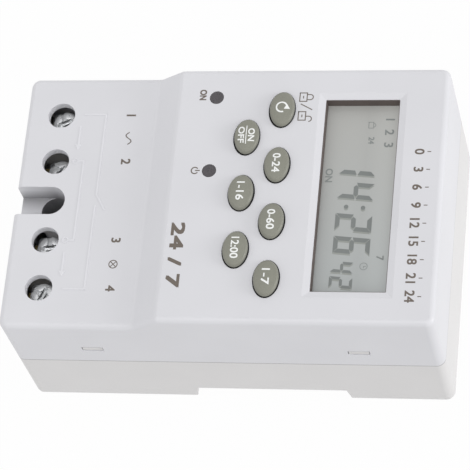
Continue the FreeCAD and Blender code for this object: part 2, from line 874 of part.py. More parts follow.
def indicator_lenses():
    lenses = []
    for x in (lens_left_x, lens_right_x):
        top = face_height - lens_sink
        flange = square_rod(lens_diameter + 2 * lens_flange_rim, x, lens_y,
                            face_underside - lens_flange_thickness, face_underside)
        lenses.append(fuse([rod(lens_diameter / 2, x, lens_y, face_underside, top), flange]))
    return Part.makeCompound(lenses)


def indicator_lamps():
    """Flat-topped round lamps on two leads each, under the lenses."""
    lamps = []
    top = face_underside - lens_flange_thickness - lamp_gap
    base = top - lamp_height
    for x in (lens_left_x, lens_right_x):
        barrel = rod(lamp_diameter / 2, x, lens_y, base, top)
        leads = [square_rod(lamp_lead, x + sx * lamp_lead_pitch / 2, lens_y,
                            control_board_top, base)
                 for sx in (-1, 1)]
        lamps.append(fuse([barrel] + leads))
    return Part.makeCompound(lamps)


def display_panel():
    """Front glass with a contact ledge at both long edges, on a shorter rear glass."""
    front_low = glass_top - front_glass_thickness
    half_x = glass_length / 2
    front = box(-half_x, half_x, window_y - front_glass_width / 2,
                window_y + front_glass_width / 2, front_low, glass_top)
    rear = box(-half_x, half_x, window_y - rear_glass_width / 2,
               window_y + rear_glass_width / 2, front_low - rear_glass_thickness, front_low)
    return fuse([front, rear])


def contact_strips():
    """Two rubber strips that join the glass ledges to the control board."""
    ledge = (front_glass_width + rear_glass_width) / 4
    high = glass_top - front_glass_thickness
    strips = []
    for side in (-1, 1):
        middle = window_y + side * ledge
        strips.append(box(-contact_strip_length / 2, contact_strip_length / 2,
                          middle - contact_strip_width / 2, middle + contact_strip_width / 2,
                          control_board_top, high))
    return Part.makeCompound(strips)


def display_holder():
    """Frame round the glass with two cross bars under it."""
    inner_x = glass_length / 2 + holder_gap
    inner_y = front_glass_width / 2 + holder_gap
    top = glass_top - holder_top_drop
    frame = box(-inner_x - holder_wall, inner_x + holder_wall,
                window_y - inner_y - holder_wall, window_y + inner_y + holder_wall,
                control_board_top, top)
    frame = frame.cut(box(-inner_x, inner_x, window_y - inner_y, window_y + inner_y, 0, top + overrun))
    bar_top = glass_top - front_glass_thickness - rear_glass_thickness
    bars = [box(x - holder_wall, x + holder_wall, window_y - inner_y, window_y + inner_y,
                bar_top - holder_wall, bar_top)
            for x in (-contact_strip_length / 2 - holder_wall,
                      contact_strip_length / 2 + holder_wall)]
    return fuse([frame] + bars)


def control_board():
    inside = half_width - side_wall - side_lean(control_board_top)
    half_x = inside - control_board_side_gap
    low_y = slope_top_y + control_board_start
    high_y = display_end_y(control_board_top, side_wall) - control_board_display_gap
    board = box(-half_x, half_x, low_y, high_y, control_board_height, control_board_top)
    for x, y in control_screw_places():
        board = board.cut(rod(control_screw_diameter / 2 + board_slot_gap, x, y,
                              control_board_height - overrun, control_board_top + overrun))
    return board


def control_board_screws():
    screws = []
    for x, y in control_screw_places():
        head = rod(control_screw_head_diameter / 2, x, y,
                   control_board_height - control_screw_head_height, control_board_height)
        shank = rod(control_screw_diameter / 2, x, y, control_board_height,
                    control_board_height + control_screw_length)
        screws.append(fuse([head, shank]))
    return Part.makeCompound(screws)


def controller_chip():
    """Flat square package under the control board with pins on all four sides."""
    y = half_length - chip_from_display_end
    half = chip_side / 2
    high = control_board_height
    body = square_rod(chip_side, chip_x, y, high - chip_pin_thickness - chip_thickness,
                      high - chip_pin_thickness)
    pins = []
    first = -(chip_pins_per_side - 1) / 2 * chip_pin_pitch
    for index in range(chip_pins_per_side):
        along = first + index * chip_pin_pitch
        half_pin = chip_pin_width / 2
        reach = half + chip_pin_reach
        low = high - chip_pin_thickness - chip_thickness / 2
        for sign in (-1, 1):
            far = sign * reach
            root = sign * half
            pins.append(box(chip_x + min(far, root), chip_x + max(far, root),
                            y + along - half_pin, y + along + half_pin, low, high))
            pins.append(box(chip_x + along - half_pin, chip_x + along + half_pin,
                            y + min(far, root), y + max(far, root), low, high))
    return fuse([body] + pins)


def clock_crystal():
    """Small metal can lying on the underside of the control board."""
    radius = crystal_diameter / 2
    y = half_length - chip_from_display_end
    return rod_along_y(radius, crystal_x, control_board_height - radius,
                       y - crystal_length / 2, y + crystal_length / 2)


def backup_cell():
    y = half_length - cell_from_display_end
    high = control_board_height - tab_thickness
    cell = rod(cell_diameter / 2, cell_x, y, high - cell_thickness, high)
    return cell.makeChamfer(cell_edge, [e for e in cell.Edges if e.BoundBox.ZLength < same])


def cell_tabs():
    """Welded tabs: one between cell and board, one from the cell's face up to the board."""
    y = half_length - cell_from_display_end
    high = control_board_height
    cell_low = high - tab_thickness - cell_thickness
    edge = cell_x - cell_diameter / 2
    upper = box(cell_x, cell_x + cell_diameter / 2 + tab_reach,
                y - tab_width / 2, y + tab_width / 2, high - tab_thickness, high)
    lower = prism_along_y([(cell_x, cell_low), (edge - tab_reach, cell_low),
                           (edge - tab_reach, high), (edge - tab_reach - tab_thickness, high),
                           (edge - tab_reach - tab_thickness, cell_low - tab_thickness),
                           (cell_x, cell_low - tab_thickness)],
                          y - tab_width / 2, y + tab_width / 2)
    return Part.makeCompound([upper, lower])


def ribbon_cable():
    """Flat cable with a slack bow, soldered to both boards."""
    low = power_board_top
    high = control_board_height
    half = ribbon_thickness / 2
    left = ribbon_x - ribbon_width / 2

    def point(side, bow, z):
        return V(left, ribbon_y + side * half + bow, z)

    bows = [Part.Arc(point(side, 0, low), point(side, ribbon_bow, (low + high) / 2),
                     point(side, 0, high)).toShape()
            for side in (-1, 1)]
    ends = [Part.makeLine(point(-1, 0, z), point(1, 0, z)) for z in (low, high)]
    outline = Part.Wire(Part.__sortEdges__(bows + ends))
    return Part.Face(outline).extrude(V(ribbon_width, 0, 0))


def power_board():
    inside = half_width - side_wall - side_lean(power_board_top)
    half_x = inside - power_board_side_gap
    high_y = display_end_y(power_board_top, side_wall) - power_board_display_gap
    board = box(-half_x, half_x, power_board_low_y, high_y, power_board_height, power_board_top)
    for x, y in power_screw_places():
        board = board.cut(rod(power_screw_diameter / 2 + board_slot_gap, x, y,
                              power_board_height - overrun, power_board_top + overrun))
    for x in terminal_xs:
        half = terminal_pin_width / 2 + board_slot_gap
        board = board.cut(box(x - half, x + half, terminal_leg_y - board_slot_gap,
                              terminal_leg_y + terminal_plate_thickness + board_slot_gap,
                              power_board_height - overrun, power_board_top + overrun))
    return board


def power_board_screws():
    screws = []
    for x, y in power_screw_places():
        head = rod(power_screw_head_diameter / 2, x, y,
                   power_board_top, power_board_top + power_screw_head_height)
        shank = rod(power_screw_diameter / 2, x, y,
                    power_board_top - power_screw_length, power_board_top)
        screws.append(fuse([head, shank]))
    return Part.makeCompound(screws)


def terminal_plates():
    """Four bent plates with a screw hole and a pin through the power board."""
    plates = []
    half = terminal_plate_width / 2
    front_y = terminal_y - terminal_plate_front
    back_y = terminal_leg_y + terminal_plate_thickness
    for x in terminal_xs:
        flat = box(x - half, x + half, front_y, back_y, terminal_plate_seat, terminal_plate_top)
        leg = box(x - half, x + half, terminal_leg_y, back_y, power_board_top, terminal_plate_top)
        pin = box(x - terminal_pin_width / 2, x + terminal_pin_width / 2, terminal_leg_y, back_y,
                  power_board_height - terminal_pin_stub, power_board_top)
        plate = fuse([flat, leg, pin])
        plate = plate.cut(rod(screw_diameter / 2 + screw_bore_gap, x, terminal_y,
                              terminal_plate_seat - overrun, terminal_plate_top + overrun))
        plates.append(plate)
    return Part.makeCompound(plates)


def terminal_screw(index):
    """Cheese-head clamp screw with a slotted cross recess, turned as it stands in the well."""
    x = terminal_xs[index]
    top = deck_height - screw_head_depths[index]
    low = top - screw_head_height
    head = rod(screw_head_diameter / 2, x, terminal_y, low, top)
    head = head.makeChamfer(screw_head_chamfer, [e for e in head.Edges
                                                 if e.BoundBox.ZMin > top - same])
    shank = rod(screw_diameter / 2, x, terminal_y, low - screw_shank_length, low)
    half_slot = screw_slot_width / 2
    reach = screw_head_diameter / 2 + overrun
    low_z = top - screw_slot_depth
    high_z = top + overrun
    slot = box(x - reach, x + reach, terminal_y - half_slot, terminal_y + half_slot, low_z, high_z)
    cross = box(x - half_slot, x + half_slot, terminal_y - screw_cross_length / 2,
                terminal_y + screw_cross_length / 2, low_z, high_z)
    recess = fuse([slot, cross])
    recess.rotate(V(x, terminal_y, 0), AXIS_Z, screw_recess_turns[index])
    return fuse([head, shank]).cut(recess)


def clamp_plate(index):
    """Square plate under the screw head, with its corners cut."""
    x = terminal_xs[index]
    top = deck_height - screw_head_depths[index] - screw_head_height
    plate = square_rod(clamp_plate_side, x, terminal_y, top - clamp_plate_thickness, top)
    plate = plate.makeChamfer(clamp_corner, [e for e in plate.Edges if e.BoundBox.ZLength > same])
    return plate.cut(rod(screw_diameter / 2 + clamp_bore_gap, x, terminal_y, 0, top + overrun))


def relay_base():
    inner_x = relay_size_x / 2 - relay_case_wall - relay_case_gap
    inner_y = relay_size_y / 2 - relay_case_wall - relay_case_gap
    return box(relay_x - inner_x, relay_x + inner_x, relay_y - inner_y, relay_y + inner_y,
               power_board_top, relay_floor)


def relay_case():
    half_x = relay_size_x / 2
    half_y = relay_size_y / 2
    top = power_board_top + relay_size_z
    case = box(relay_x - half_x, relay_x + half_x, relay_y - half_y, relay_y + half_y,
               power_board_top, top)
    case = case.makeFillet(relay_case_corner, [e for e in case.Edges
                                              if e.BoundBox.ZLength > relay_case_corner])
    wall = relay_case_wall
    return case.cut(box(relay_x - half_x + wall, relay_x + half_x - wall,
                        relay_y - half_y + wall, relay_y + half_y - wall,
                        power_board_top - overrun, top - wall))


def relay_yoke():
    """L-shaped iron yoke with the core and its pole."""
    half = yoke_half_width
    leg_in = coil_y + yoke_leg_inner
    leg_out = leg_in + yoke_thickness
    leg_top = armature_low - hinge_gap
    floor_bar = box(relay_x - half, relay_x + half, coil_y - half, leg_out,
                    relay_floor, bobbin_low)
    leg = box(relay_x - half, relay_x + half, leg_in, leg_out, relay_floor, leg_top)
    core = rod(core_diameter / 2, relay_x, coil_y, relay_floor, pole_low)
    pole = rod(pole_diameter / 2, relay_x, coil_y, pole_low, pole_top)
    return fuse([floor_bar, leg, core, pole])


def relay_bobbin():
    bore = core_diameter / 2 + core_gap
    top = bobbin_low + bobbin_height
    flanges = [square_rod(bobbin_side, relay_x, coil_y, bobbin_low, bobbin_low + bobbin_flange),
               square_rod(bobbin_side, relay_x, coil_y, top - bobbin_flange, top)]
    barrel = rod(bore + bobbin_bore_wall, relay_x, coil_y, bobbin_low, top)
    return fuse(flanges + [barrel]).cut(rod(bore, relay_x, coil_y, bobbin_low - overrun, top + overrun))


def relay_winding():
    inner = core_diameter / 2 + core_gap + bobbin_bore_wall
    low = bobbin_low + bobbin_flange
    high = bobbin_low + bobbin_height - bobbin_flange
    return rod(winding_diameter / 2, relay_x, coil_y, low, high).cut(
        rod(inner, relay_x, coil_y, low - overrun, high + overrun))


def relay_armature():
    """Hinged iron plate with the contact blade and its rivet."""
    half = yoke_half_width
    tail_y = coil_y + yoke_leg_inner + yoke_thickness + armature_tail
    top = armature_low + armature_thickness
    plate = box(relay_x - half, relay_x + half, coil_y - armature_reach, tail_y, armature_low, top)
    blade = box(relay_x - blade_half_width, relay_x + blade_half_width,
                coil_y - blade_reach, coil_y, top, top + blade_thickness)
    rivet = rod(contact_diameter / 2, relay_x, coil_y - contact_reach,
                top - contact_thickness, top)
    return fuse([plate, blade, rivet])


def relay_contact():
    """Fixed contact on a bent strip that stands on the relay base."""
    arm_length = contact_reach + contact_diameter / 2 + hinge_y - coil_y
    swing = arm_length * math.sin(math.radians(relay_close_deg))
    rivet_top = armature_low + armature_thickness - contact_thickness - swing - contact_rest_gap
    strip_top = rivet_top - contact_thickness
    strip_low = strip_top - contact_strip_thickness
    leg_y = coil_y - contact_reach - contact_diameter / 2 - contact_strip_thickness
    half = blade_half_width
    leg = box(relay_x - half, relay_x + half, leg_y, leg_y + contact_strip_thickness,
              relay_floor, strip_top)
    arm = box(relay_x - half, relay_x + half, leg_y, coil_y - contact_reach + contact_diameter / 2,
              strip_low, strip_top)
    rivet = rod(contact_diameter / 2, relay_x, coil_y - contact_reach, strip_top, rivet_top)
    return fuse([leg, arm, rivet])


def relay_leaf_spring():
    """Bent leaf behind the yoke whose lip lies over the armature's tail."""
    leg_out = coil_y + yoke_leg_inner + yoke_thickness
    lip_low = armature_low + armature_thickness + leaf_lift
    lip_high = lip_low + leaf_thickness
    back = leg_out + armature_tail + leaf_tail_gap
    foot = armature_low - leaf_drop
    profile = [(leg_out, foot), (leg_out + leaf_thickness, foot),
               (leg_out + leaf_thickness, foot + leaf_drop / 2),
               (back + leaf_thickness, armature_low), (back + leaf_thickness, lip_high),
               (back - leaf_lip, lip_high), (back - leaf_lip, lip_low), (back, lip_low),
               (back, armature_low), (leg_out, foot + leaf_drop / 2 + leaf_thickness)]
    return prism_along_x(profile, relay_x - leaf_half_width, relay_x + leaf_half_width)


def dropper_capacitor():
    case = box(dropper_x - dropper_size_x / 2, dropper_x + dropper_size_x / 2,
               relay_y - dropper_size_y / 2, relay_y + dropper_size_y / 2,
               power_board_top, power_board_top + dropper_size_z)
    return case.makeFillet(dropper_edge_radius,
                           [e for e in case.Edges if e.BoundBox.ZLength > dropper_edge_radius])


def smoothing_capacitor():
    """Aluminium can with a rolled groove near its foot."""
    radius = smoother_diameter / 2
    low = power_board_top
    high = low + smoother_height
    groove = low + smoother_groove_height
    depth = smoother_groove_depth
    outline = [(0, low), (radius - depth, low), (radius, low + depth), (radius, groove - depth),
               (radius - depth, groove), (radius, groove + depth), (radius, high - depth),
               (radius - depth, high), (0, high)]
    corners = [V(smoother_x + r, smoother_y, z) for r, z in outline]
    face = Part.Face(Part.makePolygon(corners + corners[:1]))
    return face.revolve(V(smoother_x, smoother_y, 0), AXIS_Z, 360)


def varistor():
    """Coated disc standing on two leads."""
    radius = varistor_diameter / 2
    centre_z = power_board_top + varistor_rise + radius
    disc = rod_along_y(radius, varistor_x, centre_z, varistor_y - varistor_thickness / 2,
                       varistor_y + varistor_thickness / 2)
    disc = disc.makeChamfer(varistor_edge, [e for e in disc.Edges if e.BoundBox.YLength < same])
    half = lead_side / 2
    leads = [box(varistor_x + sx * radius / 2 - half, varistor_x + sx * radius / 2 + half,
                 varistor_y - half, varistor_y + half, power_board_top, centre_z - radius / 2)
             for sx in (-1, 1)]
    return fuse([disc] + leads)


def axial_part(x, y, diameter, body_length):
    """Round body lying along Y with both leads bent down to the board."""
    radius = diameter / 2
    centre_z = power_board_top + axial_rise + radius
    body = rod_along_y(radius, x, centre_z, y - body_length / 2, y + body_length / 2)
    half = lead_side / 2
    leads = []
    for sign in (-1, 1):
        root = y + sign * body_length / 2
        bend = root + sign * axial_lead_reach
        profile = [(root, centre_z + half), (bend + sign * half, centre_z + half),
                   (bend + sign * half, power_board_top), (bend - sign * half, power_board_top),
                   (bend - sign * half, centre_z - half), (root, centre_z - half)]
        leads.append(prism_along_x(profile, x - half, x + half))
    return fuse([body] + leads)


def rectifier_bridge():
    """Flat block on four legs."""
    low = power_board_top + bridge_rise
    body = box(bridge_x - bridge_size_x / 2, bridge_x + bridge_size_x / 2,
               bridge_y - bridge_size_y / 2, bridge_y + bridge_size_y / 2,
               low, low + bridge_thickness)
    legs = [square_rod(lead_side, bridge_x + sx * bridge_leg_pitch_x / 2,
                       bridge_y + sy * bridge_leg_pitch_y / 2, power_board_top, low)
            for sx in (-1, 1) for sy in (-1, 1)]
    return fuse([body] + legs)


def bleed_resistors():
    return Part.makeCompound([axial_part(resistor_first_x + index * resistor_pitch, resistor_row_y,
                                         resistor_diameter, resistor_length)
                              for index in range(resistor_count)])


def neutral_link():
    """Strap on the board between the two middle terminals."""
    half = terminal_pin_width / 2
    return box(-terminal_inner_x - half, terminal_inner_x + half, legs_inner_y,
               legs_inner_y + link_width, power_board_top, power_board_top + link_thickness)


def line_link():
    """Strap from the first terminal to the relay."""
    relay_edge = relay_y - relay_size_y / 2
    return box(-terminal_outer_x - link_width / 2, -terminal_outer_x + link_width / 2,
               legs_inner_y, relay_edge, power_board_top, power_board_top + link_thickness)


def load_link():
    """Strap from the last terminal past the middle ones to the relay."""
    relay_edge = relay_y - relay_size_y / 2
    band_low = load_link_low_y
    outer = terminal_outer_x + link_width / 2
    inner = terminal_outer_x - link_width / 2
    relay_right = relay_x + relay_size_x / 2 - relay_case_wall
    relay_left = relay_right - link_width
    outline = [(outer, legs_inner_y), (outer, band_low + load_link_width),
               (relay_right, band_low + load_link_width), (relay_right, relay_edge),
               (relay_left, relay_edge), (relay_left, band_low), (inner, band_low),
               (inner, legs_inner_y)]
    return prism_along_z(outline, power_board_top, power_board_top + link_thickness)


PIECES = {
    "front_cover": front_cover,
    "rear_base": rear_base,
    "display_panel": display_panel,
    "display_holder": display_holder,
    "contact_strips": contact_strips,
    "control_board": control_board,
    "control_board_screws": control_board_screws,
    "tact_switches": tact_switches,
    "indicator_lenses": indicator_lenses,
    "indicator_lamps": indicator_lamps,
    "controller_chip": controller_chip,
    "clock_crystal": clock_crystal,
    "backup_cell": backup_cell,
    "cell_tabs": cell_tabs,
    "ribbon_cable": ribbon_cable,
    "power_board": power_board,
    "power_board_screws": power_board_screws,
    "dropper_capacitor": dropper_capacitor,
    "smoothing_capacitor": smoothing_capacitor,
    "varistor": varistor,
    "rectifier_bridge": rectifier_bridge,
    "bleed_resistors": bleed_resistors,
    "relay_base": relay_base,
    "relay_case": relay_case,
    "relay_yoke": relay_yoke,
    "relay_bobbin": relay_bobbin,
    "relay_winding": relay_winding,
    "relay_armature": relay_armature,
    "relay_contact": relay_contact,
    "relay_leaf_spring": relay_leaf_spring,
    "terminal_plates": terminal_plates,
    "line_link": line_link,
    "load_link": load_link,
    "neutral_link": neutral_link,
    "rail_clip": rail_clip,
    "rail_clip_spring": rail_clip_spring,
}


def save(name, shape):
    if not shape.isValid() or not shape.Solids:
        raise ValueError(name + " is not a valid solid")
    shape.exportStep("parts/" + name + ".step")
    print(name, len(shape.Solids), "solid", round(shape.Volume, 1), "mm3")


os.makedirs("parts", exist_ok=True)
for node, make in PIECES.items():
    save(node, make())
for key, (key_x, key_y) in KEY_PLACES.items():
    save("key_" + key, key_cap(key_x, key_y))
    save("plunger_" + key, tact_plunger(key_x, key_y))
for number in range(len(terminal_xs)):
    save("terminal_screw_" + str(number + 1), terminal_screw(number))
    save("clamp_plate_" + str(number + 1), clamp_plate(number))
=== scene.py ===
import json
import math

import bmesh
import bpy
from bpy.props import FloatProperty, FloatVectorProperty, PointerProperty
from mathutils import Matrix, Vector


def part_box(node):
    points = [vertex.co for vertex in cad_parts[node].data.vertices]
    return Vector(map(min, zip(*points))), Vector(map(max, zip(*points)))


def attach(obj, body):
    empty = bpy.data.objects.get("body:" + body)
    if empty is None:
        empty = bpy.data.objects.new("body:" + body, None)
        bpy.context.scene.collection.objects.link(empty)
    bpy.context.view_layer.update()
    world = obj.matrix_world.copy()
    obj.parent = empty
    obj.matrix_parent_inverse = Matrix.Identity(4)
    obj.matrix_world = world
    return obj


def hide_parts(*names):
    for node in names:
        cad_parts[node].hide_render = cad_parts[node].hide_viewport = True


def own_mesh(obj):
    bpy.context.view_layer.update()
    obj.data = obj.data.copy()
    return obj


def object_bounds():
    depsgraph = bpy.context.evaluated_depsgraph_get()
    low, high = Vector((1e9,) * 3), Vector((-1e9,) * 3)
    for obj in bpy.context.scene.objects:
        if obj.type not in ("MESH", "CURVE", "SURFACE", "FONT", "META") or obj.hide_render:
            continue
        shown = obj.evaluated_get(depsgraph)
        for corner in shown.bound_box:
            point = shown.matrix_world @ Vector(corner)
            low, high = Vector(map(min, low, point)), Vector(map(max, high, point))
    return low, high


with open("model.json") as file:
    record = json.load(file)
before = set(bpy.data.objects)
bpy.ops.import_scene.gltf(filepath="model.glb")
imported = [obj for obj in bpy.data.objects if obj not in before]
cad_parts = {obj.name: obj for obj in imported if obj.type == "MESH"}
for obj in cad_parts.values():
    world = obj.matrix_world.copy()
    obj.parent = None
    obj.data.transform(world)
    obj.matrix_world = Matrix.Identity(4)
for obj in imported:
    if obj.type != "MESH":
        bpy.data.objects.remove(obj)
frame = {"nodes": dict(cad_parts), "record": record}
cad_low, cad_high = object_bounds()

bl_info = {
    "name": "Timer switch finish",
    "version": (1, 0, 0),
    "blender": (4, 5, 0),
    "location": "3D View > Sidebar > Timer switch",
    "description": "Moulded edges, domed keys, screws, display, prints and finishes of a timer switch",
    "category": "Object",
}

MM = 0.001
nodes = frame["nodes"]
SLOT_COLOURS = {m["slot"]: m["base_color"][:3] for m in frame["record"]["materials"]}

# Heights and places read from the housing, in metres
cover_low, cover_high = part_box("front_cover")
glass_low, glass_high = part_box("display_panel")
FACE_STEP = 4.9 * MM
FACE_HEIGHT = cover_high.z
DECK_HEIGHT = FACE_HEIGHT - FACE_STEP
GLASS_HEIGHT = glass_high.z
FRONT_WALL = 2.5 * MM
WINDOW_END_MARGIN = 1.85 * MM
WINDOW_X = glass_high.x - WINDOW_END_MARGIN
WINDOW_Y = (glass_low.y + glass_high.y) / 2
WINDOW_HALF_WIDTH = 10.15 * MM
WINDOW_BEVEL = 1.95 * MM
WINDOW_BEVEL_DEPTH = 0.5 * MM
SEAM_HEIGHT = cover_low.z
# Space inside the base whose walls are seen only through the screw wells and get painted shade: the
# distance from the middle, the length and the height, each from low to high
INNER_X = (6.5 * MM, 35.0 * MM)
INNER_Y = (-57.2 * MM, 57.2 * MM)
INNER_Z = (15.0 * MM, FACE_HEIGHT)
# How dark the painted shade is on the walls inside the base
INNER_SHADE = 0.5
# Notch in the deck, and the deep well of the wall screw under its round end
NOTCH_RADIUS = 4.15 * MM
NOTCH_END_Y = cad_low[1] + 10.6 * MM
NOTCH_FLOOR = DECK_HEIGHT - 7.3 * MM
# Painted shade in the notch: how dark its inner corner is, and how far from there it is plain white again
NOTCH_SHADE = 0.45
NOTCH_REACH = 5.2 * MM
# Painted shade in the deep well: how dark it is on its seat and under the notch, and the seat's height
DEEP_SHADES = (0.2, 0.34)
DEEP_SEAT = 3.0 * MM
# Parting line, in painted shade: how far from its plane the dark starts and ends to fade, and how dark it
# is
SEAM_FADE = (0.04 * MM, 0.2 * MM)
SEAM_SHADE = 0.45
TERMINALS = [1, 2, 3, 4]
# How far each screw is turned at rest, in degrees
SCREW_TURNS = {1: 24.0, 2: 52.0, 3: 8.0, 4: 66.0}
KEYS = ["reset", "hour", "minute", "week", "auto", "timer", "clock"]
# Gap between a cap and its hole
KEY_GAP = 0.25 * MM
# How far each cap has settled to one side of its hole, as a share of the gap
KEY_LEAN = {"reset": (0.2, 0.7), "hour": (0.2, 0.3), "minute": (0.3, 0.2), "week": (0.2, 0.35),
            "auto": (0.2, 0.7), "timer": (0.3, 0.1), "clock": (0.2, 0.3)}
# Dark tint of the lamps' lenses, and how much darker the brass is than its record says: painted shade deep
# in the wells
LENS_COLOUR = (0.072, 0.066, 0.072)
BRASS_SHADE = 0.6
# Points this close are one point
TOUCH = 0.001 * MM
# Step between flat shapes that overlap, so that no two lie in one plane
BOLD_STEP = 0.002 * MM
# Most of a noise texture lies between these values
NOISE_LOW, NOISE_HIGH = 0.3, 0.7


def shade(colour, share):
    """The colour times a share, kept between black and white."""
    return tuple(min(1.0, max(0.0, channel * share)) for channel in colour)


class HousingSettings(bpy.types.PropertyGroup):
    edge: FloatProperty(name="Edge softness", description="Rounding of the moulded edges",
                        default=0.16 * MM, unit="LENGTH", precision=5)
    grain: FloatProperty(name="Grain size", description="Size of the fine moulded grain",
                         default=0.25 * MM, unit="LENGTH", precision=5)
    cover_colour: FloatVectorProperty(name="Cover colour", description="Cool white of the front cover",
                                      subtype="COLOR", size=3, default=SLOT_COLOURS["cover_white"])
    base_colour: FloatVectorProperty(name="Base colour", description="Slightly warmer white of the base",
                                     subtype="COLOR", size=3, default=SLOT_COLOURS["base_white"])


class KeySettings(bpy.types.PropertyGroup):
    crown: FloatProperty(name="Crown", description="Height of the dome above the ends of the oval",
                         default=0.9 * MM, unit="LENGTH", precision=5)
    rim: FloatProperty(name="Rim radius", description="Rounding where the dome meets the side",
                       default=0.75 * MM, unit="LENGTH", precision=5)
    legend_room: FloatProperty(name="Legend room", description="How far the crown stays below full height",
                               default=0.05 * MM, unit="LENGTH", precision=5)
    legend_height: FloatProperty(name="Legend height", description="Height of the numerals on the keys",
                                 default=2.1 * MM, unit="LENGTH", precision=5)
    legend_bold: FloatProperty(name="Legend weight", description="How much wider the strokes are made",
                               default=0.11 * MM, unit="LENGTH", precision=5)
    colour: FloatVectorProperty(name="Key colour", description="Olive grey of the keys",
                                subtype="COLOR", size=3, default=shade(SLOT_COLOURS["key_grey"], 0.78))
    # Painted shade: the lower part of each cap, seen in the gap round it, is dark for the gap's shade
    skirt_colour: FloatVectorProperty(name="Painted skirt shade", description="Dark lower part inside the hole",
                                      subtype="COLOR", size=3, default=(0.030, 0.030, 0.027))
    legend_colour: FloatVectorProperty(name="Legend colour", description="White ink on the keys",
                                       subtype="COLOR", size=3, default=(0.86, 0.87, 0.86))


class ScrewSettings(bpy.types.PropertyGroup):
    slot_width: FloatProperty(name="Slot width", description="Width of the driver slot",
                              default=1.15 * MM, unit="LENGTH", precision=5)
    slot_depth: FloatProperty(name="Slot depth", description="Depth of the driver slot",
                              default=1.2 * MM, unit="LENGTH", precision=5)
    cross_length: FloatProperty(name="Cross length", description="Length of the short arms of the recess",
                                default=4.6 * MM, unit="LENGTH", precision=5)
    pitch: FloatProperty(name="Thread pitch", description="Distance between the turns of the thread",
                         default=0.7 * MM, unit="LENGTH", precision=5)
    colour: FloatVectorProperty(name="Zinc colour", description="Zinc plating, dulled in the well",
                                subtype="COLOR", size=3, default=shade(SLOT_COLOURS["terminal_zinc"], 1.18))
    eased: FloatProperty(name="Eased edges", description="Rounding of the edges of the recess",
                         default=0.09 * MM, unit="LENGTH", precision=5)


class DisplaySettings(bpy.types.PropertyGroup):
    bar: FloatProperty(name="Bar width", description="Width of the bars of the large digits",
                       default=1.25 * MM, unit="LENGTH", precision=5)
    slant: FloatProperty(name="Slant", description="Lean of the digits",
                         default=math.radians(5.0), subtype="ANGLE")
    shadow: FloatProperty(name="Shadow offset", description="How far the faint second image lies off",
                          default=0.5 * MM, unit="LENGTH", precision=5)
    near_colour: FloatVectorProperty(name="Glass, left end", description="Grey green at the left end",
                                     subtype="COLOR", size=3, default=(0.455, 0.455, 0.436))
    far_colour: FloatVectorProperty(name="Glass, right end", description="Cooler grey at the right end",
                                    subtype="COLOR", size=3, default=(0.430, 0.452, 0.450))
    segment_colour: FloatVectorProperty(name="Digit colour", description="Grey of the dark bars",
                                        subtype="COLOR", size=3, default=(0.205, 0.220, 0.215))
    shadow_colour: FloatVectorProperty(name="Shadow colour", description="Grey of the second image",
                                       subtype="COLOR", size=3, default=(0.310, 0.325, 0.305))
    # Dark lining on the walls between the glass and the white frame
    gasket_colour: FloatVectorProperty(name="Lining colour", description="Dark lining of the window",
                                       subtype="COLOR", size=3, default=(0.117, 0.094, 0.086))


class PrintSettings(bpy.types.PropertyGroup):
    ink: FloatProperty(name="Ink thickness", description="How far the printed ink stands up",
                       default=0.02 * MM, unit="LENGTH", precision=6)
    relief: FloatProperty(name="Relief height", description="How far the moulded lines stand up",
                          default=0.15 * MM, unit="LENGTH", precision=5)
    relief_width: FloatProperty(name="Relief width", description="Width of the moulded lines",
                                default=0.5 * MM, unit="LENGTH", precision=5)
    ink_colour: FloatVectorProperty(name="Ink colour", description="Brown grey of the prints",
                                    subtype="COLOR", size=3, default=(0.145, 0.120, 0.100))


class StudioSettings(bpy.types.PropertyGroup):
    sky: FloatProperty(name="Room light", description="Even light from above and all round",
                       default=0.74, min=0.0)
    floor_light: FloatProperty(name="Floor light", description="Even light from the pale floor",
                               default=0.78, min=0.0)
    end_lamp: FloatProperty(name="End lamp", description="Strength of the low lamp at the display end",
                            default=1.12, min=0.0)
    front_lamp: FloatProperty(name="Front lamp", description="Strength of the high lamp near the camera",
                              default=0.64, min=0.0)
    softness: FloatProperty(name="Lamp softness", description="Width of both lamps as seen from the switch",
                            default=math.radians(25.0), subtype="ANGLE")
    lens: FloatProperty(name="Lens", description="Focal length of the camera in millimetres",
                        default=204.55, min=1.0)


# Modelling steps shared by the operators

def set_mode(mode):
    """Edit or object mode, if a piece is active and isn't in it."""
    if bpy.context.object is not None and bpy.context.object.mode != mode:
        bpy.ops.object.mode_set(mode=mode)


def select_only(*pieces):
    set_mode("OBJECT")
    bpy.ops.object.select_all(action="DESELECT")
    for piece in pieces:
        piece.select_set(True)
    bpy.context.view_layer.objects.active = pieces[0]


def added(operator, **values):
    """The piece that an operator adds in object mode."""
    set_mode("OBJECT")
    operator(**values)
    return bpy.context.object


def middle_of(low, high, z=0.0):
    """Middle of a box seen from above, at the given height."""
    return Vector(((low.x + high.x) / 2, (low.y + high.y) / 2, z))


def edit_all(piece):
    """Edit mode with every vertex of the piece selected."""
    select_only(piece)
    set_mode("EDIT")
    bpy.ops.mesh.select_mode(type="VERT")
    bpy.ops.mesh.select_all(action="SELECT")


def edge_middle(edge):
    return (edge.verts[0].co + edge.verts[1].co) / 2


def pick(piece, kind, test):
    """In edit mode, selects just the faces, edges or points whose middle and normal pass the test."""
    bpy.ops.mesh.select_mode(type=kind)
    bpy.ops.mesh.select_all(action="DESELECT")
    shape = bmesh.from_edit_mesh(piece.data)
    if kind == "FACE":
        found = [(face, face.calc_center_median(), face.normal) for face in shape.faces]
    elif kind == "EDGE":
        found = [(edge, edge_middle(edge), None) for edge in shape.edges]
    else:
        found = [(vertex, vertex.co, vertex.normal) for vertex in shape.verts]
    for item, middle, normal in found:
        if test(middle, normal):
            item.select_set(True)
    bmesh.update_edit_mesh(piece.data)


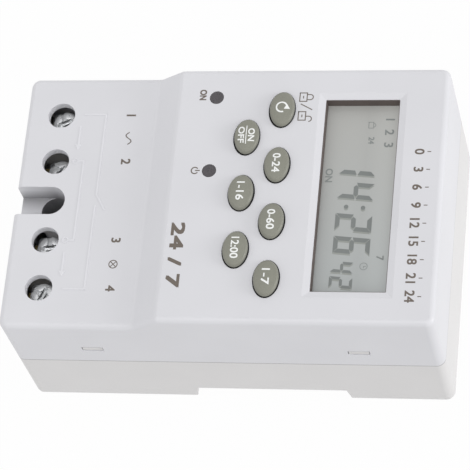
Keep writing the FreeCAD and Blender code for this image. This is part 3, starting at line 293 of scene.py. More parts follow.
def pick_crisp(piece, degrees, test):
    """In edit mode, selects just the edges that pass the test and are sharper than the angle."""
    bpy.ops.mesh.select_mode(type="EDGE")
    bpy.ops.mesh.select_all(action="DESELECT")
    shape = bmesh.from_edit_mesh(piece.data)
    for edge in shape.edges:
        if test(edge) and edge.calc_face_angle(0.0) > math.radians(degrees):
            edge.select_set(True)


def mark_creases(piece, low, high, degrees):
    """Keeps crisp the edges inside a box whose faces meet at more than the angle."""
    edit_all(piece)
    pick_crisp(piece, degrees, lambda edge: all(a < c < b for a, c, b in zip(low, edge_middle(edge), high)))
    bpy.ops.mesh.mark_sharp()
    set_mode("OBJECT")


def apply_place(piece):
    """Puts the piece's place, turn and scale into its mesh."""
    select_only(piece)
    bpy.ops.object.transform_apply(location=True, rotation=True, scale=True)


def apply_all_modifiers(piece):
    select_only(piece)
    for modifier in list(piece.modifiers):
        bpy.ops.object.modifier_apply(modifier=modifier.name)


def smooth(piece, degrees=35.0, creases=None):
    """Smooth shading over the roundings, with the flat faces left flat."""
    select_only(piece)
    bpy.ops.object.shade_smooth_by_angle(angle=math.radians(degrees), keep_sharp_edges=False)
    if creases is not None:
        mark_creases(piece, *creases)
    weighted = piece.modifiers.new("Flat faces", "WEIGHTED_NORMAL")
    weighted.keep_sharp = True
    apply_all_modifiers(piece)


def soften(piece, width, segments=2, degrees=30.0):
    """Rounds the edges whose faces meet at more than the angle."""
    bevel = piece.modifiers.new("Soft edges", "BEVEL")
    bevel.width = width
    bevel.segments = segments
    bevel.limit_method = "ANGLE"
    bevel.angle_limit = math.radians(degrees)
    bevel.use_clamp_overlap = False
    apply_all_modifiers(piece)


def join(pieces, name):
    """One named piece from several."""
    select_only(*pieces)
    if len(pieces) > 1:
        bpy.ops.object.join()
    joined = bpy.context.object
    joined.name = name
    joined.data.name = name
    return joined


def copy_of(piece, name):
    """Copy with a mesh of its own."""
    twin = bpy.data.objects.new(name, piece.data.copy())
    bpy.context.scene.collection.objects.link(twin)
    return twin


def settle(piece, name, body, finish, replaced=()):
    """Names a finished piece, gives it its body and its finish, and hides the nodes that it stands for."""
    apply_place(piece)
    piece.name = name
    piece.data.name = name
    piece.data.materials.clear()
    piece.data.materials.append(finish)
    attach(piece, body)
    if replaced:
        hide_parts(*replaced)
    return piece


def carve(piece, cutter):
    """Cuts the cutter's shape out of the piece and removes the cutter."""
    boolean = piece.modifiers.new("Carve", "BOOLEAN")
    boolean.operation = "DIFFERENCE"
    boolean.object = cutter
    boolean.solver = "EXACT"
    apply_all_modifiers(piece)
    bpy.data.objects.remove(cutter)


def drop_onto(piece, target):
    """Modifier that moves the piece's points straight up or down to the target."""
    wrap = piece.modifiers.new("Drop", "SHRINKWRAP")
    wrap.wrap_method = "PROJECT"
    wrap.use_project_z = True
    wrap.use_negative_direction = True
    wrap.target = target
    return wrap


def add_block(low, high):
    """Block between two corners."""
    middle = [(a + b) / 2 for a, b in zip(low, high)]
    block = added(bpy.ops.mesh.primitive_cube_add, size=1, location=middle)
    block.scale = [b - a for a, b in zip(low, high)]
    apply_place(block)
    return block


def softened_copy(node, name, edge, creases=None):
    """Copy of a node's shape, merged to its true faces, with its edges rounded."""
    piece = copy_of(nodes[node], name)
    select_only(piece)
    if piece.data.has_custom_normals:
        bpy.ops.mesh.customdata_custom_splitnormals_clear()
    edit_all(piece)
    bpy.ops.mesh.remove_doubles(threshold=TOUCH)
    bpy.ops.mesh.dissolve_limited(angle_limit=math.radians(1.0))
    set_mode("OBJECT")
    soften(piece, edge)
    smooth(piece, creases=creases)
    return piece


# Flat shapes for prints, moulded lines and the display

def add_bar(length, width):
    """Flat bar along X with its middle at the origin."""
    bar = added(bpy.ops.mesh.primitive_plane_add, size=1, location=(0, 0, 0))
    bar.scale = (length, width, 1)
    apply_place(bar)
    return bar


def lay_bar(bar, start, end, z):
    """Turns a bar along the line between two points and moves it there."""
    run = end - start
    set_mode("OBJECT")
    bar.location = (*((start + end) / 2), z)
    bar.rotation_euler = (0, 0, math.atan2(run.y, run.x))
    apply_place(bar)
    return bar


def flat_stroke(start, end, width, z, pointed=0.0):
    """Flat bar from one point to another, with ends that taper over the pointed length."""
    start, end = Vector(start), Vector(end)
    length = (end - start).length
    bar = add_bar(length - 2 * pointed, width)
    if pointed:
        set_mode("EDIT")
        for side in (-1, 1):
            reach = side * (length / 2 - pointed)
            pick(bar, "EDGE", lambda middle, normal: abs(middle.x - reach) < TOUCH)
            bpy.ops.mesh.extrude_region_move(TRANSFORM_OT_translate={"value": (side * pointed, 0, 0)})
            bpy.ops.mesh.merge(type="CENTER")
    return lay_bar(bar, start, end, z)


def mitred_bar(start, end, width, z, inner, cuts):
    """Flat bar whose inner edge is shorter at each end by a share of its width."""
    bar = add_bar((end - start).length, width)
    edit_all(bar)
    for side, cut in zip((-1, 1), cuts):
        pick(bar, "VERT", lambda place, normal: place.x * side > 0 and place.y * inner > 0)
        bpy.ops.transform.translate(value=(-side * cut * width, 0, 0))
    return lay_bar(bar, start, end, z)


def flat_path(points, width, z):
    """Flat strokes through the points, each lengthened by half its width so that corners close."""
    strokes = []
    for start, end in zip(points[:-1], points[1:]):
        start, end = Vector(start), Vector(end)
        reach = (end - start).normalized() * width / 2
        strokes.append(flat_stroke(start - reach, end + reach, width, z))
    return strokes


def flat_ring(x, y, radius, width, z, start=0.0, end=360.0, sides=40):
    """Flat ring, or the part of it between two angles."""
    ring = added(bpy.ops.mesh.primitive_circle_add, vertices=sides, radius=radius - width / 2,
                 fill_type="NOTHING", location=(x, y, z))
    apply_place(ring)
    edit_all(ring)
    bpy.ops.mesh.extrude_region_move(TRANSFORM_OT_translate={"value": (0, 0, 0)})
    share = (radius + width / 2) / (radius - width / 2)
    bpy.ops.transform.resize(value=(share, share, 1), center_override=(x, y, z))
    if end - start < 360:
        pick(ring, "FACE", lambda middle, normal: (
            math.degrees(math.atan2(middle.y - y, middle.x - x)) - start) % 360 > end - start)
        bpy.ops.mesh.delete(type="FACE")
    set_mode("OBJECT")
    return ring


def flat_dot(x, y, radius, z):
    """Flat disc with an inner ring of edges."""
    dot = added(bpy.ops.mesh.primitive_circle_add, vertices=24, radius=radius, fill_type="NGON",
                location=(x, y, z))
    apply_place(dot)
    edit_all(dot)
    bpy.ops.mesh.inset(thickness=radius * 0.4)
    set_mode("OBJECT")
    return dot


def flat_arrow_head(x, y, size, degrees, z):
    """Triangle that points along the angle."""
    head = added(bpy.ops.mesh.primitive_circle_add, vertices=3, radius=size, fill_type="NGON",
                 location=(0, 0, 0))
    corner = max(head.data.vertices, key=lambda vertex: vertex.co.length).co
    turn = math.radians(degrees) - math.atan2(corner.y, corner.x)
    head.rotation_euler = (0, 0, turn)
    head.location = (x, y, z)
    apply_place(head)
    return head


def flat_text(words, x, y, height, z, width=None, bold=0.0):
    """Line of text whose middle is at x, y, as tall as height and as wide as width if that is given."""
    text = added(bpy.ops.object.text_add, location=(0, 0, 0))
    text.data.body = words
    text.data.size = 1.0
    text.data.resolution_u = 4
    bpy.ops.object.convert(target="MESH")
    text = bpy.context.object
    corners = [vertex.co for vertex in text.data.vertices]
    low = Vector((min(c.x for c in corners), min(c.y for c in corners), 0))
    high = Vector((max(c.x for c in corners), max(c.y for c in corners), 0))
    tall = height / (high.y - low.y)
    wide = width / (high.x - low.x) if width else tall
    text.scale = (wide, tall, 1)
    text.location = (x - wide * (low.x + high.x) / 2, y - tall * (low.y + high.y) / 2, z)
    apply_place(text)
    return join(bolder(text, bold, BOLD_STEP), "text") if bold else text


def bolder(flat, spread, step):
    """Four copies of a flat shape, shifted by the spread and each a step higher, in its place."""
    copies = []
    for number, (side, lift) in enumerate(((-1, -1), (1, -1), (-1, 1), (1, 1))):
        twin = copy_of(flat, "bold_copy")
        twin.location = (side * spread / 2, lift * spread / 2, number * step)
        apply_place(twin)
        copies.append(twin)
    bpy.data.objects.remove(flat)
    return copies


def print_piece(flats, name, height, finish, edge=0.0):
    """Joins flat shapes into one printed or moulded piece that stands up by its height.

    Shapes that follow each other may overlap, so they lie a small step apart."""
    for number, flat in enumerate(flats):
        flat.location.z = number % 3 * BOLD_STEP
        apply_place(flat)
    piece = join(flats, name)
    edit_all(piece)
    bpy.ops.mesh.remove_doubles(threshold=TOUCH / 2)
    pick(piece, "FACE", lambda middle, normal: normal.z < 0)
    bpy.ops.mesh.flip_normals()
    set_mode("OBJECT")
    solid = piece.modifiers.new("Height", "SOLIDIFY")
    solid.thickness = height
    solid.offset = 1.0
    solid.use_even_offset = False
    apply_all_modifiers(piece)
    if edge:
        soften(piece, edge, segments=1, degrees=50)
    return settle(piece, name, "housing", finish)


# Finishes

def start_finish(name):
    """New material, its nodes, its shader and the place in the piece."""
    finish = bpy.data.materials.new(name)
    finish.use_nodes = True
    tree = finish.node_tree
    shader = tree.nodes["Principled BSDF"]
    place = tree.nodes.new("ShaderNodeTexCoord")
    return finish, tree, shader, place.outputs["Object"]


def noise(tree, place, size, detail=3.0, stretch=None):
    """Noise whose patches are about the given size in metres."""
    if stretch is not None:
        mapping = tree.nodes.new("ShaderNodeMapping")
        mapping.inputs["Scale"].default_value = stretch
        tree.links.new(place, mapping.inputs["Vector"])
        place = mapping.outputs["Vector"]
    texture = tree.nodes.new("ShaderNodeTexNoise")
    texture.inputs["Scale"].default_value = 1.0 / size
    texture.inputs["Detail"].default_value = detail
    tree.links.new(place, texture.inputs["Vector"])
    return texture.outputs["Fac"]


def ramp(tree, value, stops):
    """Colours along a value; each stop is a place and a colour."""
    node = tree.nodes.new("ShaderNodeValToRGB")
    elements = node.color_ramp.elements
    while len(elements) < len(stops):
        elements.new(0.5)
    for element, (place, colour) in zip(elements, stops):
        element.position = place
        element.color = (*colour, 1.0)
    tree.links.new(value, node.inputs["Fac"])
    return node.outputs["Color"]


def dress(tree, shader, tint, patches, rough, relief, depth, strength=0.5):
    """Gives the shader its colour, a roughness that follows the patches, and a fine relief."""
    tree.links.new(tint, shader.inputs["Base Color"])
    tree.links.new(map_range(tree, patches, NOISE_LOW, NOISE_HIGH, *rough), shader.inputs["Roughness"])
    bump = tree.nodes.new("ShaderNodeBump")
    bump.inputs["Strength"].default_value = strength
    bump.inputs["Distance"].default_value = depth
    tree.links.new(relief, bump.inputs["Height"])
    tree.links.new(bump.outputs["Normal"], shader.inputs["Normal"])


def scaled(tree, colour, share):
    """The colour times a share that changes over the surface."""
    dim = tree.nodes.new("ShaderNodeVectorMath")
    dim.operation = "SCALE"
    tree.links.new(colour, dim.inputs[0])
    tree.links.new(share, dim.inputs["Scale"])
    return dim.outputs["Vector"]


def maths(tree, operation, first, second=None, third=None):
    """Math node whose inputs are numbers or other nodes' outputs."""
    node = tree.nodes.new("ShaderNodeMath")
    node.operation = operation
    for socket, value in zip(node.inputs, (first, second, third)):
        if isinstance(value, bpy.types.NodeSocket):
            tree.links.new(value, socket)
        elif value is not None:
            socket.default_value = value
    return node.outputs["Value"]


def coordinates(tree, place):
    """The three parts of a place."""
    parts = tree.nodes.new("ShaderNodeSeparateXYZ")
    tree.links.new(place, parts.inputs["Vector"])
    return [parts.outputs[letter] for letter in "XYZ"]


def line_length(tree, first, second):
    """Length of the line that runs by the two values, one square to the other."""
    line = tree.nodes.new("ShaderNodeCombineXYZ")
    tree.links.new(first, line.inputs["X"])
    tree.links.new(second, line.inputs["Y"])
    measure = tree.nodes.new("ShaderNodeVectorMath")
    measure.operation = "LENGTH"
    tree.links.new(line.outputs["Vector"], measure.inputs[0])
    return measure.outputs["Value"]


def map_range(tree, value, low, high, first, last):
    """Turns a value between low and high into one between first and last."""
    node = tree.nodes.new("ShaderNodeMapRange")
    tree.links.new(value, node.inputs["Value"])
    for socket, number in zip(("From Min", "From Max", "To Min", "To Max"), (low, high, first, last)):
        node.inputs[socket].default_value = number
    return node.outputs["Result"]


def seam_line(tree, place, colour):
    """Painted shade of the narrow gap: darkens the thin parting line between the cover and the base."""
    x, y, z = coordinates(tree, place)
    distance = maths(tree, "ABSOLUTE", maths(tree, "SUBTRACT", z, SEAM_HEIGHT))
    return scaled(tree, colour, map_range(tree, distance, *SEAM_FADE, SEAM_SHADE, 1.0))


def notch_shade(tree, place, colour):
    """Painted shade: darkens the inner corner of the notch, and more so the deep well of the wall screw."""
    wall_slack, floor_slack, seat_slack = 0.06 * MM, 0.02 * MM, 0.1 * MM
    x, y, z = coordinates(tree, place)
    past = maths(tree, "SUBTRACT", y, NOTCH_END_Y)
    from_line = line_length(tree, x, maths(tree, "MAXIMUM", past, 0.0))
    from_axis = line_length(tree, x, past)
    edge = NOTCH_RADIUS + wall_slack
    above = maths(tree, "SUBTRACT", z, NOTCH_FLOOR)
    corner = line_length(tree, maths(tree, "SUBTRACT", NOTCH_RADIUS, from_line), above)
    near = map_range(tree, corner, 0.0, NOTCH_REACH, NOTCH_SHADE, 1.0)
    deep = map_range(tree, z, DEEP_SEAT, NOTCH_FLOOR, *DEEP_SHADES)
    in_notch = maths(tree, "MULTIPLY", maths(tree, "LESS_THAN", from_line, edge),
                     maths(tree, "GREATER_THAN", above, -floor_slack))
    in_well = maths(tree, "MULTIPLY", maths(tree, "LESS_THAN", from_axis, edge),
                    maths(tree, "MULTIPLY", maths(tree, "LESS_THAN", above, -floor_slack),
                          maths(tree, "GREATER_THAN", z, DEEP_SEAT - seat_slack)))
    share = 1.0
    for inside, shade_there in ((in_notch, near), (in_well, deep)):
        loss = maths(tree, "MULTIPLY", inside, maths(tree, "SUBTRACT", 1.0, shade_there))
        share = maths(tree, "SUBTRACT", share, loss)
    return scaled(tree, colour, share)


def inner_shade(tree, place, colour):
    """Painted shade: darkens the walls inside the base, which show only as dark gaps round the screw heads.
    """
    x, y, z = coordinates(tree, place)
    inside = 1.0
    for value, (low, high) in ((maths(tree, "ABSOLUTE", x), INNER_X), (y, INNER_Y), (z, INNER_Z)):
        within = maths(tree, "COMPARE", value, (low + high) / 2, (high - low) / 2)
        inside = maths(tree, "MULTIPLY", within, inside)
    return scaled(tree, colour, map_range(tree, inside, 0.0, 1.0, 1.0, INNER_SHADE))


def moulded(name, colour, grain=0.25 * MM, patch=18 * MM, spread=0.015, rough=(0.36, 0.46),
            depth=0.004 * MM, painted_shades=()):
    """Satin moulded plastic: faint cloudiness and a fine grain, and painted shade that goes by the place.
    """
    finish, tree, shader, place = start_finish(name)
    clouds = noise(tree, place, patch, 2.0)
    fine = noise(tree, place, grain, 4.0)
    tint = ramp(tree, clouds, [(0.3, shade(colour, 1 - spread)), (0.7, shade(colour, 1 + spread))])
    for painted_shade in painted_shades:
        tint = painted_shade(tree, place, tint)
    dress(tree, shader, tint, fine, rough, fine, depth)
    return finish


def speckled(name, colour, speck, spread, rough=(0.35, 0.5), depth=0.006 * MM):
    """Plastic or resin with small lighter and darker specks."""
    finish, tree, shader, place = start_finish(name)
    specks = noise(tree, place, speck, 5.0)
    tint = ramp(tree, specks, [(0.3, shade(colour, 1 - spread)), (0.5, colour),
                               (0.72, shade(colour, 1 + spread))])
    dress(tree, shader, tint, specks, rough, specks, depth)
    return finish


def metal(name, colour, stretch=(1, 12, 1), line=0.4 * MM, rough=(0.22, 0.4), spread=0.12,
          depth=0.003 * MM, metallic=1.0):
    """Plated or bare metal with drawn lines and dull patches."""
    finish, tree, shader, place = start_finish(name)
    lines = noise(tree, place, line, 3.0, stretch)
    tint = ramp(tree, noise(tree, place, 3 * MM, 2.0),
                [(0.25, shade(colour, 1 - spread)), (0.75, shade(colour, 1 + spread))])
    dress(tree, shader, tint, lines, rough, lines, depth)
    shader.inputs["Metallic"].default_value = metallic
    return finish


def banded(name, colour, pitch, axis, dark=0.6, rough=(0.35, 0.5), metallic=0.0, depth=0.03 * MM):
    """Even bands at a pitch: turns of wire, cable cores or moulded ribs."""
    finish, tree, shader, place = start_finish(name)
    wave = tree.nodes.new("ShaderNodeTexWave")
    wave.wave_type = "BANDS"
    wave.bands_direction = axis
    wave.inputs["Scale"].default_value = math.pi / (10 * pitch)
    wave.inputs["Distortion"].default_value = 0.15
    tree.links.new(place, wave.inputs["Vector"])
    bands = wave.outputs["Fac"]
    tint = ramp(tree, bands, [(0.0, shade(colour, dark)), (0.6, colour)])
    dress(tree, shader, tint, noise(tree, place, 0.5 * MM), rough, bands, depth, 0.8)
    shader.inputs["Metallic"].default_value = metallic
    return finish


def board_finish(name, colour):
    """Green varnish over tracks that show as slightly lighter lines."""
    finish, tree, shader, place = start_finish(name)
    cells = tree.nodes.new("ShaderNodeTexVoronoi")
    cells.distance = "MANHATTAN"
    cells.feature = "F1"
    cells.inputs["Scale"].default_value = 1.0 / (4 * MM)
    tree.links.new(place, cells.inputs["Vector"])
    tracks = cells.outputs["Distance"]
    tint = ramp(tree, tracks, [(0.36, shade(colour, 1.5)), (0.44, colour), (0.62, shade(colour, 0.85))])
    dress(tree, shader, tint, noise(tree, place, 0.6 * MM), (0.25, 0.4), tracks, 0.02 * MM, 0.4)
    return finish


def display_finish(name, near, far):
    """Polariser over liquid crystal: grey green that cools towards +X, with a faint mottle.

    It gets paler from a little past the middle to the side of the hour scale, as painted light: a
    reflection there, and less shade than by the far wall."""
    mottle_share, paler, paler_from = 0.16, 1.25, 1.5 * MM
    finish, tree, shader, place = start_finish(name)
    x, y, z = coordinates(tree, place)
    mottle = noise(tree, place, 1.2 * MM, 4.0)
    along = map_range(tree, x, -WINDOW_X, WINDOW_X, 0.0, 1.0)
    # Painted reflection and shade: paler towards the side of the hour scale
    across = map_range(tree, y, WINDOW_Y + paler_from, WINDOW_Y + WINDOW_HALF_WIDTH, 1.0, paler)
    tint = ramp(tree, maths(tree, "MULTIPLY_ADD", mottle, mottle_share, along), [(0.05, near), (1.0, far)])
    dress(tree, shader, scaled(tree, tint, across), mottle, (0.38, 0.48), mottle, 0.002 * MM, 0.3)
    shader.inputs["Coat Weight"].default_value = 0.05
    shader.inputs["Coat Roughness"].default_value = 0.15
    return finish


def ink_finish(name, colour, spread=0.12):
    """Pad-printed ink, a little uneven."""
    return speckled(name, colour, 0.3 * MM, spread, rough=(0.4, 0.6), depth=0.002 * MM)


class TIMER_OT_housing(bpy.types.Operator):
    """Rounds the moulded edges of the cover, the base and the rail clip"""
    bl_idname = "timer.housing"
    bl_label = "Housing"

    def execute(self, context):
        settings = context.scene.timer_housing
        # The cover and the base get painted shade at the parting line and in the notch, and the base also
        # on its walls inside
        white = moulded("cover_satin_white", settings.cover_colour, grain=settings.grain,
                        painted_shades=(seam_line, notch_shade))
        warm = moulded("base_satin_white", settings.base_colour, grain=settings.grain,
                       painted_shades=(seam_line, notch_shade, inner_shade))
        clip = moulded("clip_satin_white", SLOT_COLOURS["clip_plastic"], grain=settings.grain)
        for node, body, slot, finish in (("front_cover", "housing", "cover_white", white),
                                         ("rear_base", "housing", "base_white", warm),
                                         ("rail_clip", "rail_clip", "clip_plastic", clip)):
            piece = softened_copy(node, "soft_" + node, settings.edge, self.window_frame(node))
            settle(piece, "soft_" + node, body, finish, [node])
        return {"FINISHED"}

    def window_frame(self, node):
        """Box round the mitred frame of the display window, and the least angle that stays crisp."""
        if node != "front_cover":
            return None
        reach = WINDOW_BEVEL + 0.1 * MM
        return ((-WINDOW_X - reach, WINDOW_Y - WINDOW_HALF_WIDTH - reach, FACE_HEIGHT - WINDOW_BEVEL_DEPTH),
                (WINDOW_X + reach, WINDOW_Y + WINDOW_HALF_WIDTH + reach, FACE_HEIGHT + MM), 8.0)


class TIMER_OT_clip_spring(bpy.types.Operator):
    """Rounds the edges of the folded clip spring"""
    bl_idname = "timer.clip_spring"
    bl_label = "Clip spring"

    def execute(self, context):
        node, name, slot, edge = "rail_clip_spring", "folded_clip_spring", "spring_steel", 0.08 * MM
        steel = metal("clip_spring_steel", SLOT_COLOURS[slot], stretch=(12, 1, 1), rough=(0.25, 0.4))
        spring = softened_copy(node, name, edge)
        settle(spring, name, "housing", steel, [node])
        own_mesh(spring)
        return {"FINISHED"}


class TIMER_OT_keys(bpy.types.Operator):
    """Models one domed oval key with its flange and stem, copies it and prints the legends"""
    bl_idname = "timer.keys"
    bl_label = "Keys"

    DOME_RINGS = (0.86, 0.72, 0.58, 0.44, 0.30, 0.15)
    # How far the painted shade on the lower part of a cap shows above the face
    SKIRT_RISE = 0.1 * MM
    # Plain numbers on the caps and their widths in millimetres
    NUMERALS = {"hour": ("0-24", 5.6), "minute": ("0-60", 5.8), "week": ("1-7", 4.6),
                "clock": ("12:00", 6.2), "timer": ("1-16", 5.4)}

    def execute(self, context):
        settings = context.scene.timer_keys
        olive = speckled("key_olive", settings.colour, 0.35 * MM, 0.07, rough=(0.42, 0.55))
        skirt = moulded("key_skirt_painted_shade", settings.skirt_colour, spread=0.1)
        white = ink_finish("key_legend_white", settings.legend_colour, 0.03)
        low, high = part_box("key_reset")
        first = middle_of(low, high)
        model = self.model_key(settings, first, low, high)
        for name in KEYS:
            low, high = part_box("key_" + name)
            middle = middle_of(low, high) + Vector((*KEY_LEAN[name], 0)) * KEY_GAP
            cap = copy_of(model, "domed_key_" + name)
            cap.location = middle - first
            settle(cap, "domed_key_" + name, name + "_key", olive, ["key_" + name])
            cap.data.materials.append(skirt)
            # Painted shade: faces of the cap below this height take the dark of the gap
            for face in cap.data.polygons:
                face.material_index = int(face.center.z < FACE_HEIGHT + self.SKIRT_RISE)
            self.print_legend(settings, name, middle, cap, high.z, white)
        bpy.data.objects.remove(model)
        return {"FINISHED"}

    def model_key(self, settings, centre, low, high):
        """Oval column under a shallow spherical dome, rounded at the rim, on its flange and stem."""
        flange_rim, flange_thickness, flange_gap = 0.9 * MM, 1.0 * MM, 0.05 * MM
        stem = 1.3 * MM
        half_x = (high.x - low.x) / 2 - flange_rim
        half_y = (high.y - low.y) / 2 - flange_rim
        crown = high.z - settings.legend_room
        flange_top = FACE_HEIGHT - FRONT_WALL - flange_gap
        bottom = flange_top - flange_thickness / 2
        cap = added(bpy.ops.mesh.primitive_cylinder_add, vertices=96, radius=half_x,
                    depth=crown - bottom, location=(centre.x, centre.y, (crown + bottom) / 2))
        cap.scale = (1, half_y / half_x, 1)
        apply_place(cap)
        edit_all(cap)
        pick(cap, "FACE", lambda middle, normal: normal.z > 0.9)
        reached = 1.0
        for share in self.DOME_RINGS:
            bpy.ops.mesh.extrude_region_move(TRANSFORM_OT_translate={"value": (0, 0, 0)})
            step = share / reached
            bpy.ops.transform.resize(value=(step, step, 1), center_override=(centre.x, centre.y, crown))
            reached = share
        bpy.ops.mesh.poke()
        set_mode("OBJECT")
        dome = cap.vertex_groups.new(name="dome")
        dome.add([v.index for v in cap.data.vertices if v.co.z > crown - 0.01 * MM], 1.0, "REPLACE")
        radius = (half_x ** 2 + settings.crown ** 2) / (2 * settings.crown)
        sphere = added(bpy.ops.mesh.primitive_uv_sphere_add, segments=128, ring_count=160, radius=radius,
                       location=(centre.x, centre.y, crown - radius))
        wrap = drop_onto(cap, sphere)
        wrap.vertex_group = dome.name
        apply_all_modifiers(cap)
        bpy.data.objects.remove(sphere)
        soften(cap, settings.rim, segments=5, degrees=40)
        flange = add_block((low.x, low.y, flange_top - flange_thickness), (high.x, high.y, flange_top))
        soften(flange, 0.25 * MM, segments=3)
        foot = add_block((centre.x - stem, centre.y - stem, low.z),
                         (centre.x + stem, centre.y + stem, bottom))
        soften(foot, 0.2 * MM, segments=2)
        key = join([cap, flange, foot], "key_model")
        smooth(key, 40)
        return key

    def print_legend(self, settings, name, middle, cap, crown, white):
        """Lays a flat legend on the dome."""
        ink_lift, ink_thickness = 0.012 * MM, 0.02 * MM
        above = crown + 1 * MM
        x, y = middle.x, middle.y
        if name in self.NUMERALS:
            words, width = self.NUMERALS[name]
            flats = [flat_text(words, x, y, settings.legend_height, above, width=width * MM)]
        elif name == "auto":
            line_step, half_line = 1.4 * MM, 2.7 * MM
            divider = flat_stroke((x - half_line, y), (x + half_line, y), 0.14 * MM, above)
            edit_all(divider)
            bpy.ops.mesh.subdivide(number_cuts=7)
            flats = [flat_text("ON", x, y + line_step, 1.7 * MM, above, width=3.8 * MM),
                     flat_text("OFF", x, y - line_step, 1.7 * MM, above, width=4.8 * MM), divider]
        else:
            radius = 1.45 * MM
            flats = [flat_ring(x, y, radius, 0.3 * MM, above, 75, 375),
                     flat_arrow_head(x + 0.1 * MM, y + radius, 0.85 * MM, 180, above)]
        legend = join(flats, "legend_" + name)
        edit_all(legend)
        bpy.ops.mesh.subdivide(number_cuts=2)
        set_mode("OBJECT")
        layers = bolder(legend, settings.legend_bold, 0.0)
        for number, layer in enumerate(layers):
            wrap = drop_onto(layer, cap)
            wrap.use_positive_direction = False
            wrap.offset = ink_lift + number * BOLD_STEP
            solid = layer.modifiers.new("Ink", "SOLIDIFY")
            solid.thickness = ink_thickness
            solid.offset = 0.0
            apply_all_modifiers(layer)
        settle(join(layers, "legend"), "legend_" + name, name + "_key", white)


class TIMER_OT_screws(bpy.types.Operator):
    """Turns one clamp screw with its thread and driver recess, and copies it to the terminals"""
    bl_idname = "timer.screws"
    bl_label = "Terminal screws"

    def execute(self, context):
        settings = context.scene.timer_screws
        zinc = metal("screw_bright_zinc", settings.colour, stretch=(1, 1, 1), line=0.8 * MM,
                     rough=(0.26, 0.4), spread=0.06, depth=0.001 * MM, metallic=0.5)
        low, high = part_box("terminal_screw_1")
        first = middle_of(low, high, high.z)
        model = self.turn_screw(settings, first, high.x - first.x, high.z - low.z)
        for number in TERMINALS:
            node = "terminal_screw_%d" % number
            low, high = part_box(node)
            screw = copy_of(model, "cut_" + node)
            turn = Matrix.Rotation(math.radians(SCREW_TURNS[number]), 3, "Z")
            screw.rotation_euler = turn.to_euler()
            screw.location = middle_of(low, high, high.z) - turn @ first
            settle(screw, "cut_" + node, "screw_%d" % number, zinc, [node])
        bpy.data.objects.remove(model)
        return {"FINISHED"}

    def turn_screw(self, settings, top, radius, length):
        """Spins half the outline round the axis and cuts the slot, the cross and the funnel."""
        head_height, shank, root = 2.4 * MM, 2.0 * MM, 1.65 * MM
        cross_width, cross_depth = 1.25, 1.1
        funnel_foot, funnel_share, funnel_extra, funnel_lift = 0.4 * MM, 0.78, 0.4 * MM, 0.1 * MM
        outline = [(0.0, 0.0), (radius * 0.3, -0.01 * MM), (radius * 0.6, -0.04 * MM),
                   (radius - 0.6 * MM, -0.1 * MM), (radius - 0.36 * MM, -0.17 * MM),
                   (radius - 0.16 * MM, -0.31 * MM), (radius - 0.04 * MM, -0.5 * MM),
                   (radius, -0.75 * MM), (radius, -head_height + 0.15 * MM),
                   (radius - 0.15 * MM, -head_height), (shank, -head_height),
                   (root, -head_height - 0.25 * MM)]
        depth = head_height + 0.45 * MM
        while depth + settings.pitch < length - 0.5 * MM:
            outline.append((root, -depth))
            outline.append((shank, -depth - settings.pitch * 0.5))
            outline.append((shank, -depth - settings.pitch * 0.6))
            depth += settings.pitch
        outline += [(root, -depth), (root - 0.3 * MM, -length), (0.0, -length)]
        screw = added(bpy.ops.mesh.primitive_plane_add, size=MM, location=top)
        apply_place(screw)
        edit_all(screw)
        bpy.ops.mesh.merge(type="CENTER")
        reached = (0.0, 0.0)
        for point in outline[1:]:
            step = (point[0] - reached[0], 0, point[1] - reached[1])
            bpy.ops.mesh.extrude_region_move(TRANSFORM_OT_translate={"value": step})
            reached = point
        bpy.ops.mesh.select_all(action="SELECT")
        bpy.ops.mesh.spin(steps=48, angle=math.tau, center=top, axis=(0, 0, 1))
        bpy.ops.mesh.select_all(action="SELECT")
        bpy.ops.mesh.remove_doubles(threshold=TOUCH)
        bpy.ops.mesh.normals_make_consistent(inside=False)
        set_mode("OBJECT")
        half = settings.slot_width / 2
        slot = add_block((top.x - radius - MM, top.y - half, top.z - settings.slot_depth),
                         (top.x + radius + MM, top.y + half, top.z + MM))
        carve(screw, slot)
        reach = settings.cross_length / 2
        floor = top.z - settings.slot_depth * cross_depth
        cross = add_block((top.x - half * cross_width, top.y - reach, floor),
                          (top.x + half * cross_width, top.y + reach, top.z + MM))
        carve(screw, self.taper(cross, floor))
        funnel = added(bpy.ops.mesh.primitive_cone_add, vertices=4, radius1=funnel_foot,
                       radius2=reach * funnel_share, depth=settings.slot_depth + funnel_extra,
                       location=(top.x, top.y, top.z - settings.slot_depth / 2 + funnel_lift),
                       rotation=(0, 0, math.pi / 4))
        apply_place(funnel)
        carve(screw, funnel)
        self.ease_recess(screw, settings.eased, floor - 0.1 * MM)
        smooth(screw, 30)
        return screw

    def ease_recess(self, screw, width, low):
        """Rounds the crisp edges of the head above the given height."""
        flat_degrees, crisp_degrees = 0.5, 28
        edit_all(screw)
        bpy.ops.mesh.remove_doubles(threshold=4 * TOUCH)
        bpy.ops.mesh.dissolve_limited(angle_limit=math.radians(flat_degrees))
        pick_crisp(screw, crisp_degrees, lambda edge: min(vertex.co.z for vertex in edge.verts) > low)
        bpy.ops.mesh.bevel(offset=width, segments=2, affect="EDGES", clamp_overlap=False)
        set_mode("OBJECT")

    def taper(self, cutter, floor):
        """Draws the foot of a cutter in, as a driver recess is."""
        share = 0.75
        edit_all(cutter)
        pick(cutter, "FACE", lambda middle, normal: abs(middle.z - floor) < 0.01 * MM and normal.z < -0.5)
        bpy.ops.transform.resize(value=(share, share, 1))
        set_mode("OBJECT")
        return cutter


